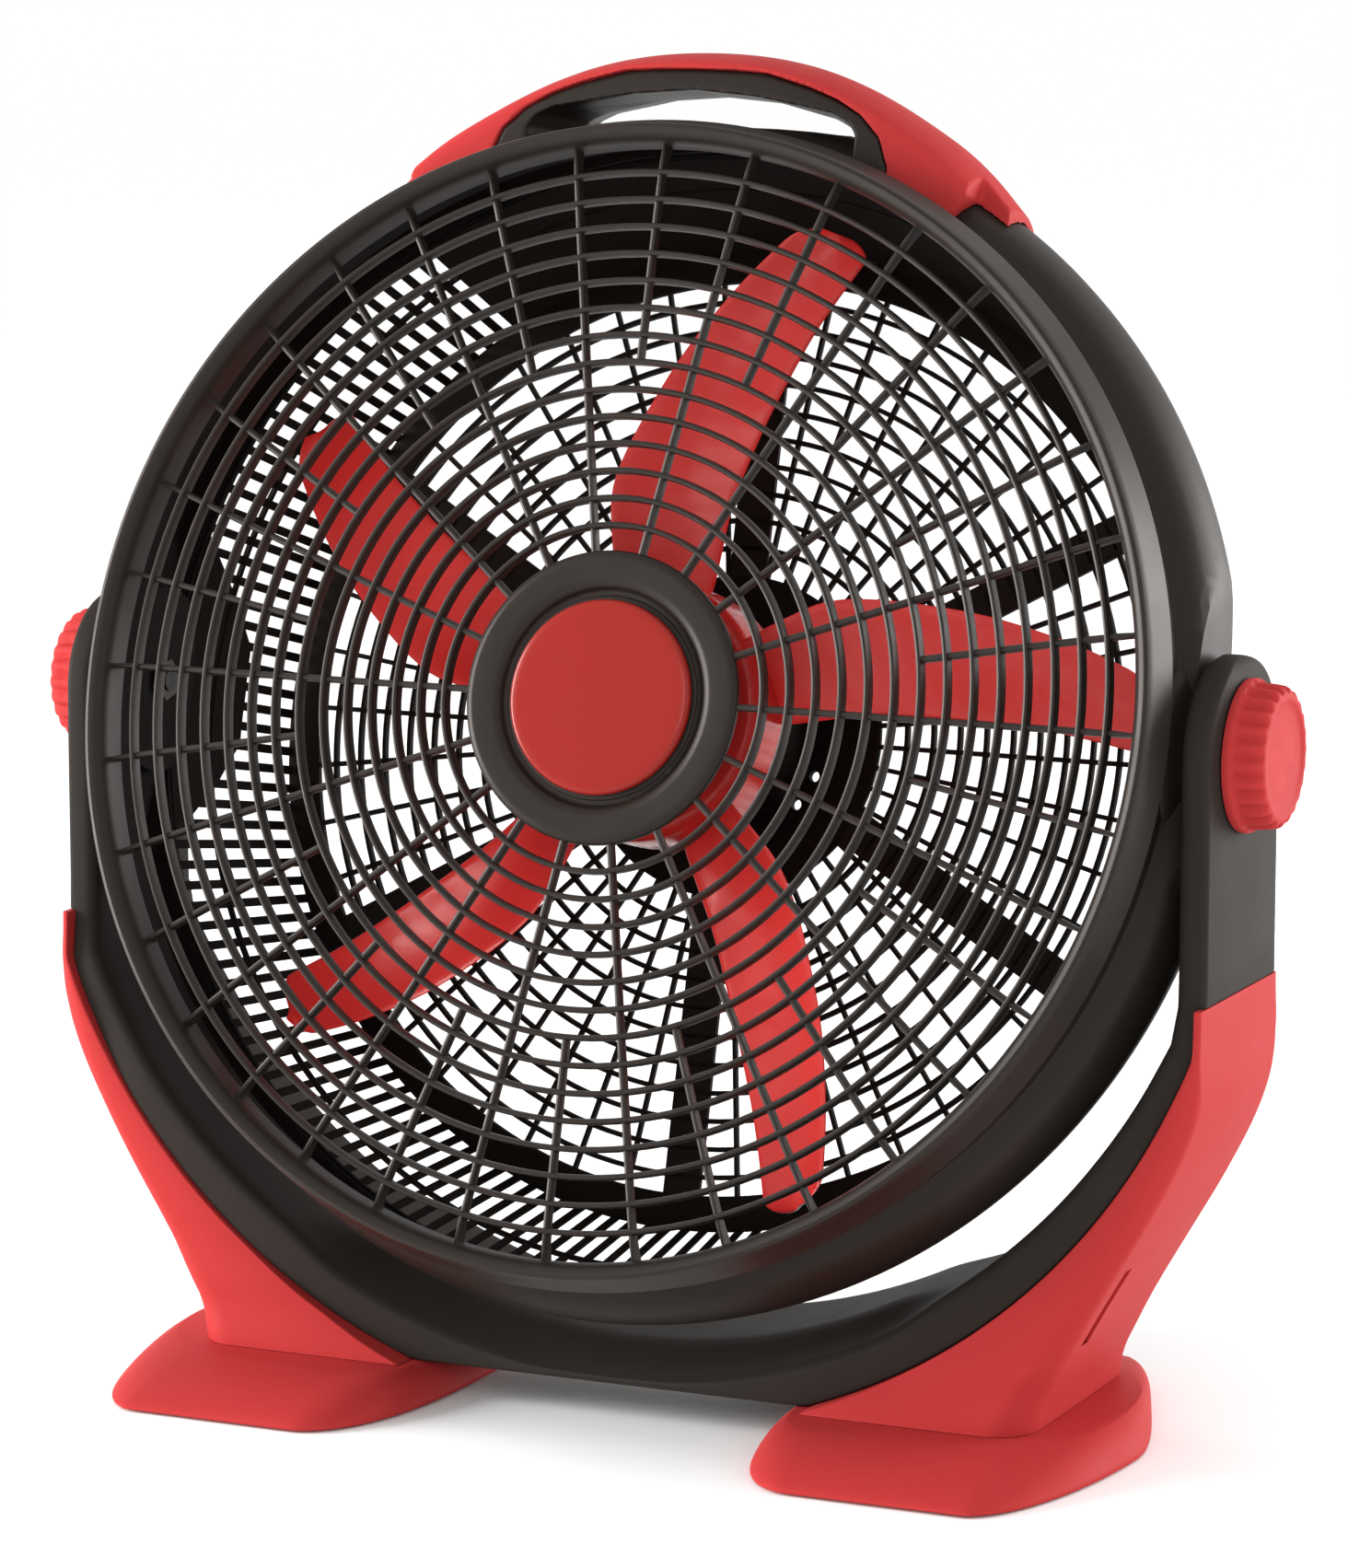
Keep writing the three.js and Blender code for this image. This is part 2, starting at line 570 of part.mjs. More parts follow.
function fanWheel() {
  const hub = turned([
    [BORE_RADIUS, 24], [56, 24], [WHEEL_HUB_RADIUS, 20], [WHEEL_HUB_RADIUS, -15],
    [56.5, -15], [56.5, 20], [12, 20], [12, 9.5], [BORE_RADIUS, 9.5]], 28);
  const radii = [57.8, 80, 100, 125, 155, 185, 210, 222, 228.5, 230.8];
  const sections = radii.map(bladeSection);
  const blades = around(BLADE_COUNT, 0, (angle) =>
    loft(sections.map((ring) => ring.map(([x, y, z]) => [
      x * Math.cos(angle) - z * Math.sin(angle), y,
      x * Math.sin(angle) + z * Math.cos(angle)]))));
  return joined([hub, ...blades]);
}

addPart(head, 'fan_wheel', fanWheel(), 'red');

// ---- head: motor cover with the switch behind the rear plate ----

const COVER_FRONT = REAR_BACK - GAP;
const COVER_FLANGE = COVER_FRONT - 2.5;
const COVER_BACK = -106;
const SWITCH_PLACE = [0, 9];
const INLET_PLACE = [-22, -8];

function motorCover() {
  let solid = turned([
    [41.5, COVER_FRONT], [41.5, COVER_FLANGE], [35, COVER_FLANGE], [34, -96],
    [31, COVER_BACK], [0, COVER_BACK], [0, COVER_BACK + 2.5], [29.3, COVER_BACK + 2.5],
    [31.6, -96], [32.4, COVER_FRONT]], 32);
  solid = solid.subtract(disc(4, COVER_BACK - 2, -100, 16, SWITCH_PLACE));
  solid = solid.subtract(disc(5.4, COVER_BACK - 2, -100, 16, INLET_PLACE));
  for (const place of COVER_SCREWS) {
    solid = solid.subtract(disc(1.8, COVER_FLANGE - 1, COVER_FRONT + 1, 8, place));
  }
  return solid;
}

addPart(head, 'motor_cover', motorCover(), 'black');

const [switchX, switchUp] = SWITCH_PLACE;
addPart(head, 'speed_switch', block(
  [switchX - 11, switchX + 11], [89.5, 102.8], [switchUp - 11, switchUp + 11]), 'black');
addPart(head, 'run_capacitor', block([-13, 13], [89.5, 101], [-22, -12]), 'black');
addPart(head, 'cord_inlet', turned([
  [3.2, COVER_BACK - 3], [6.8, COVER_BACK - 3], [6.8, COVER_BACK - GAP], [5, COVER_BACK - GAP],
  [5, -98], [3.2, -98]], 20, INLET_PLACE), 'rubber');
addPart(head, 'speed_knob', joined([
  disc(14, -119, COVER_BACK - 0.8, 28, SWITCH_PLACE),
  disc(3, COVER_BACK - 1.5, -103.1, 16, SWITCH_PLACE),
  block([switchX - 2.6, switchX + 2.6], [117, 122], [switchUp - 13, switchUp + 13])]), 'red');

// A pan-head screw along the fan axis, its head behind and its shank reaching forwards.
const screw = (place, seat, length, size) => turned([
  [0, seat - 2.4 * size], [2.6 * size, seat - 2.4 * size], [3.6 * size, seat - size],
  [3.6 * size, seat], [1.7 * size, seat], [1.7 * size, seat + length],
  [0, seat + length]], 8, place);

MOTOR_SCREWS.forEach((place, k) => {
  const solid = screw(place, REAR_BACK - GAP, 8.6, 1);
  addPart(head, `motor_screw_${k + 1}`, solid, 'steel');
});
COVER_SCREWS.forEach((place, k) => {
  const solid = screw(place, COVER_FLANGE - GAP, 6.5, 0.75);
  addPart(head, `cover_screw_${k + 1}`, solid, 'steel');
});

// ---- head: carry handle ----

const HANDLE_TOP = [[0, 301], [40, 297.5], [77, 285.5], [114, 265], [134, 250], [151, 233]];

// The handle's top line, lowered by an amount, from one half width to the other.
function handleLine(drop, half) {
  const curve = new THREE.SplineCurve([...flipX(HANDLE_TOP).slice(0, -1), ...HANDLE_TOP]
    .map(([x, up]) => new THREE.Vector2(x, up)));
  const inside = curve.getPoints(22).filter((point) => Math.abs(point.x) < half - 1);
  const end = curve.getPoints(800).reduce((best, point) =>
    (Math.abs(point.x - half) < Math.abs(best.x - half) ? point : best)).y;
  return [[-half, end - drop], ...inside.map(({ x, y }) => [x, y - drop]), [half, end - drop]];
}

// The handle's section: how far its top line drops at each place from front to back.
const HANDLE_SECTION = [
  [-HANDLE_FRONT, 14], [-30, 8], [-20, 3.5], [-6, 0], [8, 2], [16, 8], [-HANDLE_BACK, 16]];

// The crowned handle body under the top line; reach lengthens it at the front and back.
function handleBody(drop, half, reach) {
  return loft(HANDLE_SECTION.map(([y, fall], k) => {
    const ends = { 0: -reach, [HANDLE_SECTION.length - 1]: reach };
    const line = handleLine(drop + fall, half);
    return [...line, [half, 190], [-half, 190]].map(([x, up]) => [x, y + (ends[k] ?? 0), up]);
  }));
}

const grownDrum = filledDrum(GAP).add(block([-400, 400], [-60, 60], [-300, 200]));
const notches = [-1, 1].map((sense) => {
  const ends = [138 * sense, 200 * sense].sort((a, b) => a - b);
  return block(ends, [-60, -24], [150, 262]);
});

function handleCover() {
  return handleBody(0, 151, 0)
    .subtract(handleBody(6, GRIP_HALF + GAP, 3))
    .subtract(grownDrum)
    .subtract(joined(notches));
}

// The finger gap's ceiling is lower at the front, where the grip's edge turns down.
function fingerGap() {
  const ceiling = [[-FINGER_HALF, 271], [-45, 276.5], [-22, 280], [22, 280], [45, 276.5],
    [FINGER_HALF, 271], [FINGER_HALF, 190], [-FINGER_HALF, 190]];
  return loft([[-60, 6], [-34, 4], [-18, 0], [40, 0]].map(([y, fall]) =>
    ceiling.map(([x, up]) => [x, y, up - fall])));
}

function handleGrip() {
  return handleBody(6 + GAP, GRIP_HALF, -1)
    .subtract(fingerGap())
    .subtract(grownDrum);
}

addPart(head, 'handle_cover', handleCover(), 'red');
addPart(head, 'handle_grip', handleGrip(), 'black');

export default model;
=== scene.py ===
# A floor fan with a tilting drum head on a U-shaped yoke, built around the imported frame.
# Metres, +Z up, the fan blows towards -Y. Head pieces are made in the head's own frame,
# where "ahead" is the distance from the tilt axis towards the front grille.

import json
import math

import bmesh
import bpy
from mathutils import Matrix, Vector


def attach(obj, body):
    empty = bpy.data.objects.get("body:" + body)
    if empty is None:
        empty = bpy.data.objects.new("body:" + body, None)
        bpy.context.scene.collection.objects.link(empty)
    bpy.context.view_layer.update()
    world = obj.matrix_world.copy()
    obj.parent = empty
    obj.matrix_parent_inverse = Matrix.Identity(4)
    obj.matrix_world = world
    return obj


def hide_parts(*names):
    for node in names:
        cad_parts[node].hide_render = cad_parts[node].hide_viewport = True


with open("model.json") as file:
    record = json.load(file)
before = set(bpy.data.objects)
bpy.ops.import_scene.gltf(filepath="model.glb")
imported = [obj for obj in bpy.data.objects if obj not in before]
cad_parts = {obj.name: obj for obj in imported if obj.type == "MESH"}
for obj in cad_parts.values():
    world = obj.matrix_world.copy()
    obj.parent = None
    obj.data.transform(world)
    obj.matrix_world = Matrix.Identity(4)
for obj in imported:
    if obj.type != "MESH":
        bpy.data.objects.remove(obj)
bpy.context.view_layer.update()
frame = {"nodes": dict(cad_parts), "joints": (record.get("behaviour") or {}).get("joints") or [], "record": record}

MM = 0.001
PIVOT = Vector(next(j["pos_m"] for j in frame["joints"] if j["name"] == "head_tilt"))
HEAD_TILT = math.radians(15)
HEAD = Matrix.Translation(PIVOT) @ Matrix.Rotation(-HEAD_TILT, 4, "X")
STAND = Matrix.Translation(PIVOT)
GROUND = Matrix.Translation((0, PIVOT.y, 0))
IDENTITY = Matrix.Identity(4)


# ---- outlines ----

def arc(centre, radius, start, end, steps):
    """Points on an arc, angles in degrees."""
    points = []
    for k in range(steps + 1):
        angle = math.radians(start + (end - start) * k / steps)
        points.append((centre[0] + radius * math.cos(angle), centre[1] + radius * math.sin(angle)))
    return points


def polar(radius, angle):
    """The point at an angle in radians on a circle about the origin."""
    return radius * math.cos(angle), radius * math.sin(angle)


def circle(radius, count, centre=(0, 0)):
    """Points evenly round a circle."""
    angles = [2 * math.pi * k / count for k in range(count)]
    return [(centre[0] + radius * math.cos(a), centre[1] + radius * math.sin(a)) for a in angles]


def rounded(points, radius, steps=3, closed=True):
    """The outline with each corner cut back to an arc-like curve of about that radius."""
    count = len(points)
    result = []
    for i, point in enumerate(points):
        if not closed and i in (0, count - 1):
            result.append(tuple(point))
            continue
        here = Vector(point)
        before = Vector(points[i - 1]) - here
        after = Vector(points[(i + 1) % count]) - here
        reach = min(radius, before.length * 0.45, after.length * 0.45)
        if reach < 1e-6:
            result.append(tuple(point))
            continue
        first = here + before.normalized() * reach
        last = here + after.normalized() * reach
        for k in range(steps + 1):
            t = k / steps
            result.append(tuple(first * (1 - t) ** 2 + here * 2 * t * (1 - t) + last * t ** 2))
    return result


def smooth_line(points, steps):
    """A Catmull-Rom curve through the points, with steps stretches between every two."""
    ends = [tuple(2 * a - b for a, b in zip(points[0], points[1]))]
    ends += list(points)
    ends.append(tuple(2 * a - b for a, b in zip(points[-1], points[-2])))
    result = []
    for i in range(1, len(ends) - 2):
        p0, p1, p2, p3 = (Vector(p) for p in ends[i - 1:i + 3])
        for k in range(steps):
            t = k / steps
            result.append(tuple(0.5 * (2 * p1 + (p2 - p0) * t + (2 * p0 - 5 * p1 + 4 * p2 - p3) * t ** 2
                                       + (3 * p1 - p0 - 3 * p2 + p3) * t ** 3)))
    result.append(tuple(points[-1]))
    return result


def lookup(table, x):
    """The value at x on straight lines between the table's (x, value) rows."""
    if x <= table[0][0]:
        return table[0][1]
    for (x0, v0), (x1, v1) in zip(table, table[1:]):
        if x <= x1:
            return v0 + (v1 - v0) * (x - x0) / (x1 - x0)
    return table[-1][1]


def eased(table, x):
    """Like lookup, but with a smooth step between every two rows."""
    if x <= table[0][0]:
        return table[0][1]
    for (x0, v0), (x1, v1) in zip(table, table[1:]):
        if x <= x1:
            t = (x - x0) / (x1 - x0)
            return v0 + (v1 - v0) * t * t * (3 - 2 * t)
    return table[-1][1]


# ---- skins: lists of points and faces, in millimetres ----

class Skin:
    """Points and faces of one piece, which may hold several closed shells."""

    def __init__(self):
        self.points = []
        self.faces = []

    def add(self, points, faces):
        """Adds points, and faces that count from the first of them."""
        first = len(self.points)
        self.points += [tuple(p) for p in points]
        self.faces += [tuple(first + i for i in face) for face in faces]
        return self

    def loft(self, rings, caps=True, around=False):
        """Closed rings of points joined into a skin; around joins the last to the first."""
        count = len(rings[0])
        points = [p for ring in rings for p in ring]
        faces = []
        levels = len(rings) if around else len(rings) - 1
        for level in range(levels):
            low = level * count
            high = ((level + 1) % len(rings)) * count
            for i in range(count):
                j = (i + 1) % count
                faces.append((low + i, low + j, high + j, high + i))
        if caps and not around:
            last = (len(rings) - 1) * count
            faces.append(tuple(reversed(range(count))))
            faces.append(tuple(last + i for i in range(count)))
        return self.add(points, faces)

    def lathe(self, profile, segments=128, centre=(0, 0)):
        """A profile of (radius, ahead) turned about the fan axis through centre."""
        closed = not (profile[0][0] == 0 and profile[-1][0] == 0)
        rows = []
        points = []
        for radius, ahead in profile:
            if radius == 0:
                rows.append([len(points)] * segments)
                points.append((centre[0], -ahead, centre[1]))
                continue
            rows.append(list(range(len(points), len(points) + segments)))
            for k in range(segments):
                angle = 2 * math.pi * k / segments
                points.append((centre[0] + radius * math.cos(angle), -ahead,
                               centre[1] + radius * math.sin(angle)))
        pairs = list(zip(rows, rows[1:]))
        if closed:
            pairs.append((rows[-1], rows[0]))
        faces = []
        for low, high in pairs:
            for i in range(segments):
                j = (i + 1) % segments
                corners = []
                for corner in (low[i], low[j], high[j], high[i]):
                    if corner not in corners:
                        corners.append(corner)
                if len(corners) > 2:
                    faces.append(tuple(corners))
        return self.add(points, faces)

    def tube(self, section, path):
        """A (across, ahead) section carried along a path of (radius, ahead, angle) places."""
        rings = []
        for radius, ahead, angle, width, depth in path:
            out = Vector((math.cos(angle), 0, math.sin(angle)))
            across = Vector((-math.sin(angle), 0, math.cos(angle)))
            middle = out * radius + Vector((0, -ahead, 0))
            rings.append([middle + across * (a * width) + Vector((0, -b * depth, 0))
                          for a, b in section])
        return self.loft(rings)

    def extrude(self, outline, start, end, plane="front"):
        """An outline of (x, up) points along Y, or of (y, up) points along X."""
        if plane == "front":
            rings = [[(a, level, b) for a, b in outline] for level in (start, end)]
        else:
            rings = [[(level, a, b) for a, b in outline] for level in (start, end)]
        return self.loft(rings)

    def mirrored(self):
        """The same skin on the other side of the middle."""
        copy = Skin()
        copy.points = [(-x, y, z) for x, y, z in self.points]
        copy.faces = [tuple(reversed(face)) for face in self.faces]
        return copy

    def build(self, name, place, edge_angle=32):
        """A Blender object put in its place, shaded smooth with its sharp edges kept."""
        mesh = bpy.data.meshes.new(name)
        mesh.from_pydata([place @ (Vector(p) * MM) for p in self.points], [], self.faces)
        flow = bmesh.new()
        flow.from_mesh(mesh)
        bmesh.ops.remove_doubles(flow, verts=flow.verts, dist=1e-7)
        bmesh.ops.recalc_face_normals(flow, faces=flow.faces)
        flow.to_mesh(mesh)
        flow.free()
        piece = bpy.data.objects.new(name, mesh)
        bpy.context.scene.collection.objects.link(piece)
        shade(piece, edge_angle)
        return piece


def shade(piece, edge_angle):
    """Smooth shading, sharp where faces meet at more than the angle in degrees."""
    piece.data.shade_smooth()
    piece.data.set_sharp_from_angle(angle=math.radians(edge_angle))


def applied(piece):
    """The piece with its modifiers turned into mesh."""
    graph = bpy.context.evaluated_depsgraph_get()
    mesh = bpy.data.meshes.new_from_object(piece.evaluated_get(graph))
    old = piece.data
    piece.modifiers.clear()
    piece.data = mesh
    bpy.data.meshes.remove(old)
    return piece


def combine(piece, tool, operation):
    """A boolean of two pieces; the tool is used up."""
    modifier = piece.modifiers.new("cut", "BOOLEAN")
    modifier.operation = operation
    modifier.solver = "EXACT"
    modifier.object = tool
    applied(piece)
    bpy.data.objects.remove(tool)
    return piece


def joined(piece, other):
    """Two pieces' meshes in one, each still a shell of its own."""
    flow = bmesh.new()
    flow.from_mesh(piece.data)
    flow.from_mesh(other.data)
    flow.to_mesh(piece.data)
    flow.free()
    bpy.data.objects.remove(other)
    return piece


REPLACED = set()


def finish_piece(piece, body, material, slot, *nodes):
    """Gives a piece its material, its body and the CAD nodes it stands in for; the slot is not used."""
    piece.data.materials.clear()
    piece.data.materials.append(material)
    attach(piece, body)
    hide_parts(*nodes)
    REPLACED.update(nodes)


# ---- materials ----

def plastic(name, dark, light, roughness, grain, sheen_edge=0.0, specular=0.5, coat=0.0):
    """Moulded plastic: slow colour drift, uneven gloss, a fine grain, and a painted highlight that makes sharp
    edges paler.
    """
    material = bpy.data.materials.new(name)
    material.use_nodes = True
    nodes, links = material.node_tree.nodes, material.node_tree.links
    shader = nodes["Principled BSDF"]
    shader.inputs["Specular IOR Level"].default_value = specular
    shader.inputs["Specular Tint"].default_value = (1, 0.9, 0.86, 1)
    shader.inputs["Coat Weight"].default_value = coat
    shader.inputs["Coat Roughness"].default_value = 0.12
    place = nodes.new("ShaderNodeTexCoord")

    drift = nodes.new("ShaderNodeTexNoise")
    drift.inputs["Scale"].default_value = 7
    drift.inputs["Detail"].default_value = 5
    links.new(place.outputs["Object"], drift.inputs["Vector"])
    blend = nodes.new("ShaderNodeMix")
    blend.data_type = "RGBA"
    blend.inputs["A"].default_value = (*dark, 1)
    blend.inputs["B"].default_value = (*light, 1)
    links.new(drift.outputs["Fac"], blend.inputs["Factor"])
    colour = blend.outputs["Result"]

    # Painted highlight: sharp edges, found by pointiness, are mixed towards a paler colour to stand in for edges
    # catching the light.
    if sheen_edge:
        edges = nodes.new("ShaderNodeNewGeometry")
        window = nodes.new("ShaderNodeMapRange")
        window.inputs["From Min"].default_value = 0.52
        window.inputs["From Max"].default_value = 0.62
        window.inputs["To Max"].default_value = sheen_edge
        links.new(edges.outputs["Pointiness"], window.inputs["Value"])
        edge_highlight = nodes.new("ShaderNodeMix")
        edge_highlight.data_type = "RGBA"
        edge_highlight.inputs["B"].default_value = (*[min(1, 2.2 * c + 0.03) for c in light], 1)
        links.new(window.outputs["Result"], edge_highlight.inputs["Factor"])
        links.new(colour, edge_highlight.inputs["A"])
        colour = edge_highlight.outputs["Result"]
    links.new(colour, shader.inputs["Base Color"])

    patches = nodes.new("ShaderNodeTexNoise")
    patches.inputs["Scale"].default_value = 38
    patches.inputs["Detail"].default_value = 4
    links.new(place.outputs["Object"], patches.inputs["Vector"])
    gloss = nodes.new("ShaderNodeMapRange")
    gloss.inputs["To Min"].default_value = roughness - 0.06
    gloss.inputs["To Max"].default_value = roughness + 0.07
    links.new(patches.outputs["Fac"], gloss.inputs["Value"])
    links.new(gloss.outputs["Result"], shader.inputs["Roughness"])

    scale, strength = grain
    texture = nodes.new("ShaderNodeTexNoise")
    texture.inputs["Scale"].default_value = scale
    texture.inputs["Detail"].default_value = 3
    links.new(place.outputs["Object"], texture.inputs["Vector"])
    bump = nodes.new("ShaderNodeBump")
    bump.inputs["Strength"].default_value = strength
    bump.inputs["Distance"].default_value = 0.0002
    links.new(texture.outputs["Fac"], bump.inputs["Height"])
    links.new(bump.outputs["Normal"], shader.inputs["Normal"])
    return material


def metal(name, dark, light, roughness, stretch):
    """Machined or cast metal with drawn or cloudy streaks."""
    material = bpy.data.materials.new(name)
    material.use_nodes = True
    nodes, links = material.node_tree.nodes, material.node_tree.links
    shader = nodes["Principled BSDF"]
    shader.inputs["Metallic"].default_value = 1
    place = nodes.new("ShaderNodeTexCoord")
    mapping = nodes.new("ShaderNodeMapping")
    mapping.inputs["Scale"].default_value = stretch
    streaks = nodes.new("ShaderNodeTexNoise")
    streaks.inputs["Scale"].default_value = 220
    streaks.inputs["Detail"].default_value = 4
    links.new(place.outputs["Object"], mapping.inputs["Vector"])
    links.new(mapping.outputs["Vector"], streaks.inputs["Vector"])
    blend = nodes.new("ShaderNodeMix")
    blend.data_type = "RGBA"
    blend.inputs["A"].default_value = (*dark, 1)
    blend.inputs["B"].default_value = (*light, 1)
    links.new(streaks.outputs["Fac"], blend.inputs["Factor"])
    links.new(blend.outputs["Result"], shader.inputs["Base Color"])
    gloss = nodes.new("ShaderNodeMapRange")
    gloss.inputs["To Min"].default_value = roughness - 0.08
    gloss.inputs["To Max"].default_value = roughness + 0.1
    links.new(streaks.outputs["Fac"], gloss.inputs["Value"])
    links.new(gloss.outputs["Result"], shader.inputs["Roughness"])
    bump = nodes.new("ShaderNodeBump")
    bump.inputs["Strength"].default_value = 0.15
    bump.inputs["Distance"].default_value = 0.0001
    links.new(streaks.outputs["Fac"], bump.inputs["Height"])
    links.new(bump.outputs["Normal"], shader.inputs["Normal"])
    return material


BLACK = plastic("black_plastic", (0.0120, 0.0088, 0.0068), (0.0165, 0.0124, 0.0098),
                0.47, (1500, 0.25), 0.3, 0.2)
GUARD = plastic("guard_plastic", (0.0115, 0.0085, 0.0065), (0.0150, 0.0113, 0.0090),
                0.40, (1500, 0.2), 0.25, 0.22)
YOKE = plastic("yoke_plastic", (0.0210, 0.0170, 0.0145), (0.0270, 0.0222, 0.0190),
               0.6, (1500, 0.25), 0.2, 0.07)
RED = plastic("red_plastic", (0.395, 0.030, 0.029), (0.445, 0.036, 0.036), 0.55, (1500, 0.2), 0.08, 0.05)
WHEEL = plastic("wheel_red", (0.84, 0.036, 0.031), (0.92, 0.046, 0.041),
                0.24, (700, 0.05), 0.05, 0.35, 0.15)
BADGE = plastic("badge_red", (0.23, 0.011, 0.007), (0.255, 0.014, 0.010),
                0.2, (500, 0.03), 0.0, 0.2, 0.08)
# A darker, duller copy of the black plastic: painted shade for the drum's inward faces, the rear guard and the
# motor shroud.
INNER_SHADE = plastic("inner_painted_shade_plastic", (0.0062, 0.0048, 0.0038), (0.0090, 0.0070, 0.0056),
                0.65, (1500, 0.25), 0.15, 0.04)
RUBBER = plastic("rubber", (0.012, 0.012, 0.012), (0.022, 0.021, 0.020), 0.8, (900, 0.5))
STEEL = metal("zinc_steel", (0.42, 0.42, 0.42), (0.6, 0.6, 0.61), 0.32, (1, 1, 6))
DARK_STEEL = metal("black_oxide_steel", (0.018, 0.017, 0.016), (0.032, 0.030, 0.029), 0.5, (1, 1, 6))
ALLOY = metal("cast_alloy", (0.42, 0.42, 0.44), (0.55, 0.55, 0.57), 0.5, (1, 1, 1))
COPPER = metal("winding_copper", (0.38, 0.15, 0.06), (0.62, 0.30, 0.14), 0.4, (1, 8, 1))


# ---- front grille: rim, rings, ribs and hub disc in one moulding ----

OPENING = 248
HUB = 64.7
RINGS = 14
RING_PITCH = 12.2
RIBS = 36
HALF_RIB_RING = 7
RIM_SIDES = 224
RIM = [(OPENING, 46), (OPENING, 57), (248.6, 60.5), (250.2, 63.6), (252.2, 65.4), (254.2, 66),
       (255.8, 65.3), (256.6, 63.8), (257.2, 61.5), (261, 48.2), (260.6, 47.2), (259, 47.2),
       (255, 60.6), (253.6, 62.6), (252.2, 62.4), (250.8, 58.5), (250.6, 46)]
LEAF = [(0.5, -0.5), (0.5, 0.15), (0.34, 0.42), (0, 0.5), (-0.34, 0.42), (-0.5, 0.15), (-0.5, -0.5)]


def ring_front(radius):
    """How far ahead the front of the guard stands at a radius."""
    return lookup([(HUB, 61.5), (150, 61), (OPENING, 59.5)], radius)


def front_grille():
    """The guard; every other rib starts halfway out."""
    skin = Skin()
    skin.lathe(RIM, RIM_SIDES)
    hub = rounded([(0, 55.5), (62.5, 55.5), (65.6, 57.5), (65.4, 60.6), (62.4, 62.3), (52.4, 61.9),
                   (49.2, 60.2), (47.9, 57.9), (45.6, 57.6), (45.2, 58.5), (0, 58.5)], 1.2, 3, False)
    skin.lathe(hub, 160)
    for k in range(1, RINGS + 1):
        radius = HUB + RING_PITCH * k
        front = ring_front(radius)
        skin.lathe([(radius + 2.7 * a, front - 2.9 + 5.8 * b) for a, b in LEAF], 168)
    for k in range(RIBS):
        angle = 2 * math.pi * k / RIBS
        inner = HUB - 1 if k % 2 == 0 else HUB + RING_PITCH * HALF_RIB_RING
        path = []
        for radius, width, depth, back in (
                (inner, 2.9, 4.4, 3.6), (150, 2.9, 4.4, 3.6), (226, 2.9, 4.4, 3.6),
                (240, 2.6, 5.6, 4.4), (OPENING + 0.8, 1.5, 9, 6.4)):
            path.append((max(radius, inner), ring_front(radius) - back, angle, width, depth))
        skin.tube(LEAF, path)
    piece = skin.build("front_guard", HEAD)
    finish_piece(piece, "head", GUARD, "shell_black", "front_grille")


def badge():
    """The plain red cap on the hub disc."""
    profile = rounded([(0, 58.8), (43.4, 58.8), (43.5, 61.4), (42.4, 62.9), (39.5, 63.5), (0, 64.6)],
                      1.2, 4, False)
    piece = Skin().lathe(profile, 128).build("badge_cap", HEAD)
    finish_piece(piece, "head", BADGE, "badge_red", "grille_badge")


# ---- drum shell ----

DRUM_HALF_WIDTH = 262
WALL = 3
FLOOR_UP = 263.5
RECESS_HALF = 66
DRUM_OUTSIDE = [
    (255, 54), (256, 27.8), (258, 26), (262.5, 24), (266.3, 21.2), (269, 16.5), (271.5, 10),
    (273, 3), (273.5, -3), (272.8, -8.5), (270.5, -13), (266.5, -17.6), (262.4, -20.6), (260.5, -21.8)]
DRUM_INSIDE = [
    (260.5, -17.5), (264, -14.5), (267.6, -10), (269.8, -3), (268.2, 9), (263.5, 19.2), (253, 25),
    (252.4, 54)]
BOSS_SIDES = 96
BOSS = [(253.2, 43), (255.4, 42), (257.2, 40.2), (258.8, 37.4), (260, 35), (261.2, 33.6), (261.9, 33)]


def drum_solid(grow=0):
    """The drum's outside as a filled solid."""
    profile = [(0, 54 + grow)] + [(r + grow, a) for r, a in DRUM_OUTSIDE] + [(0, -22 - grow)]
    return Skin().lathe(profile, RIM_SIDES)


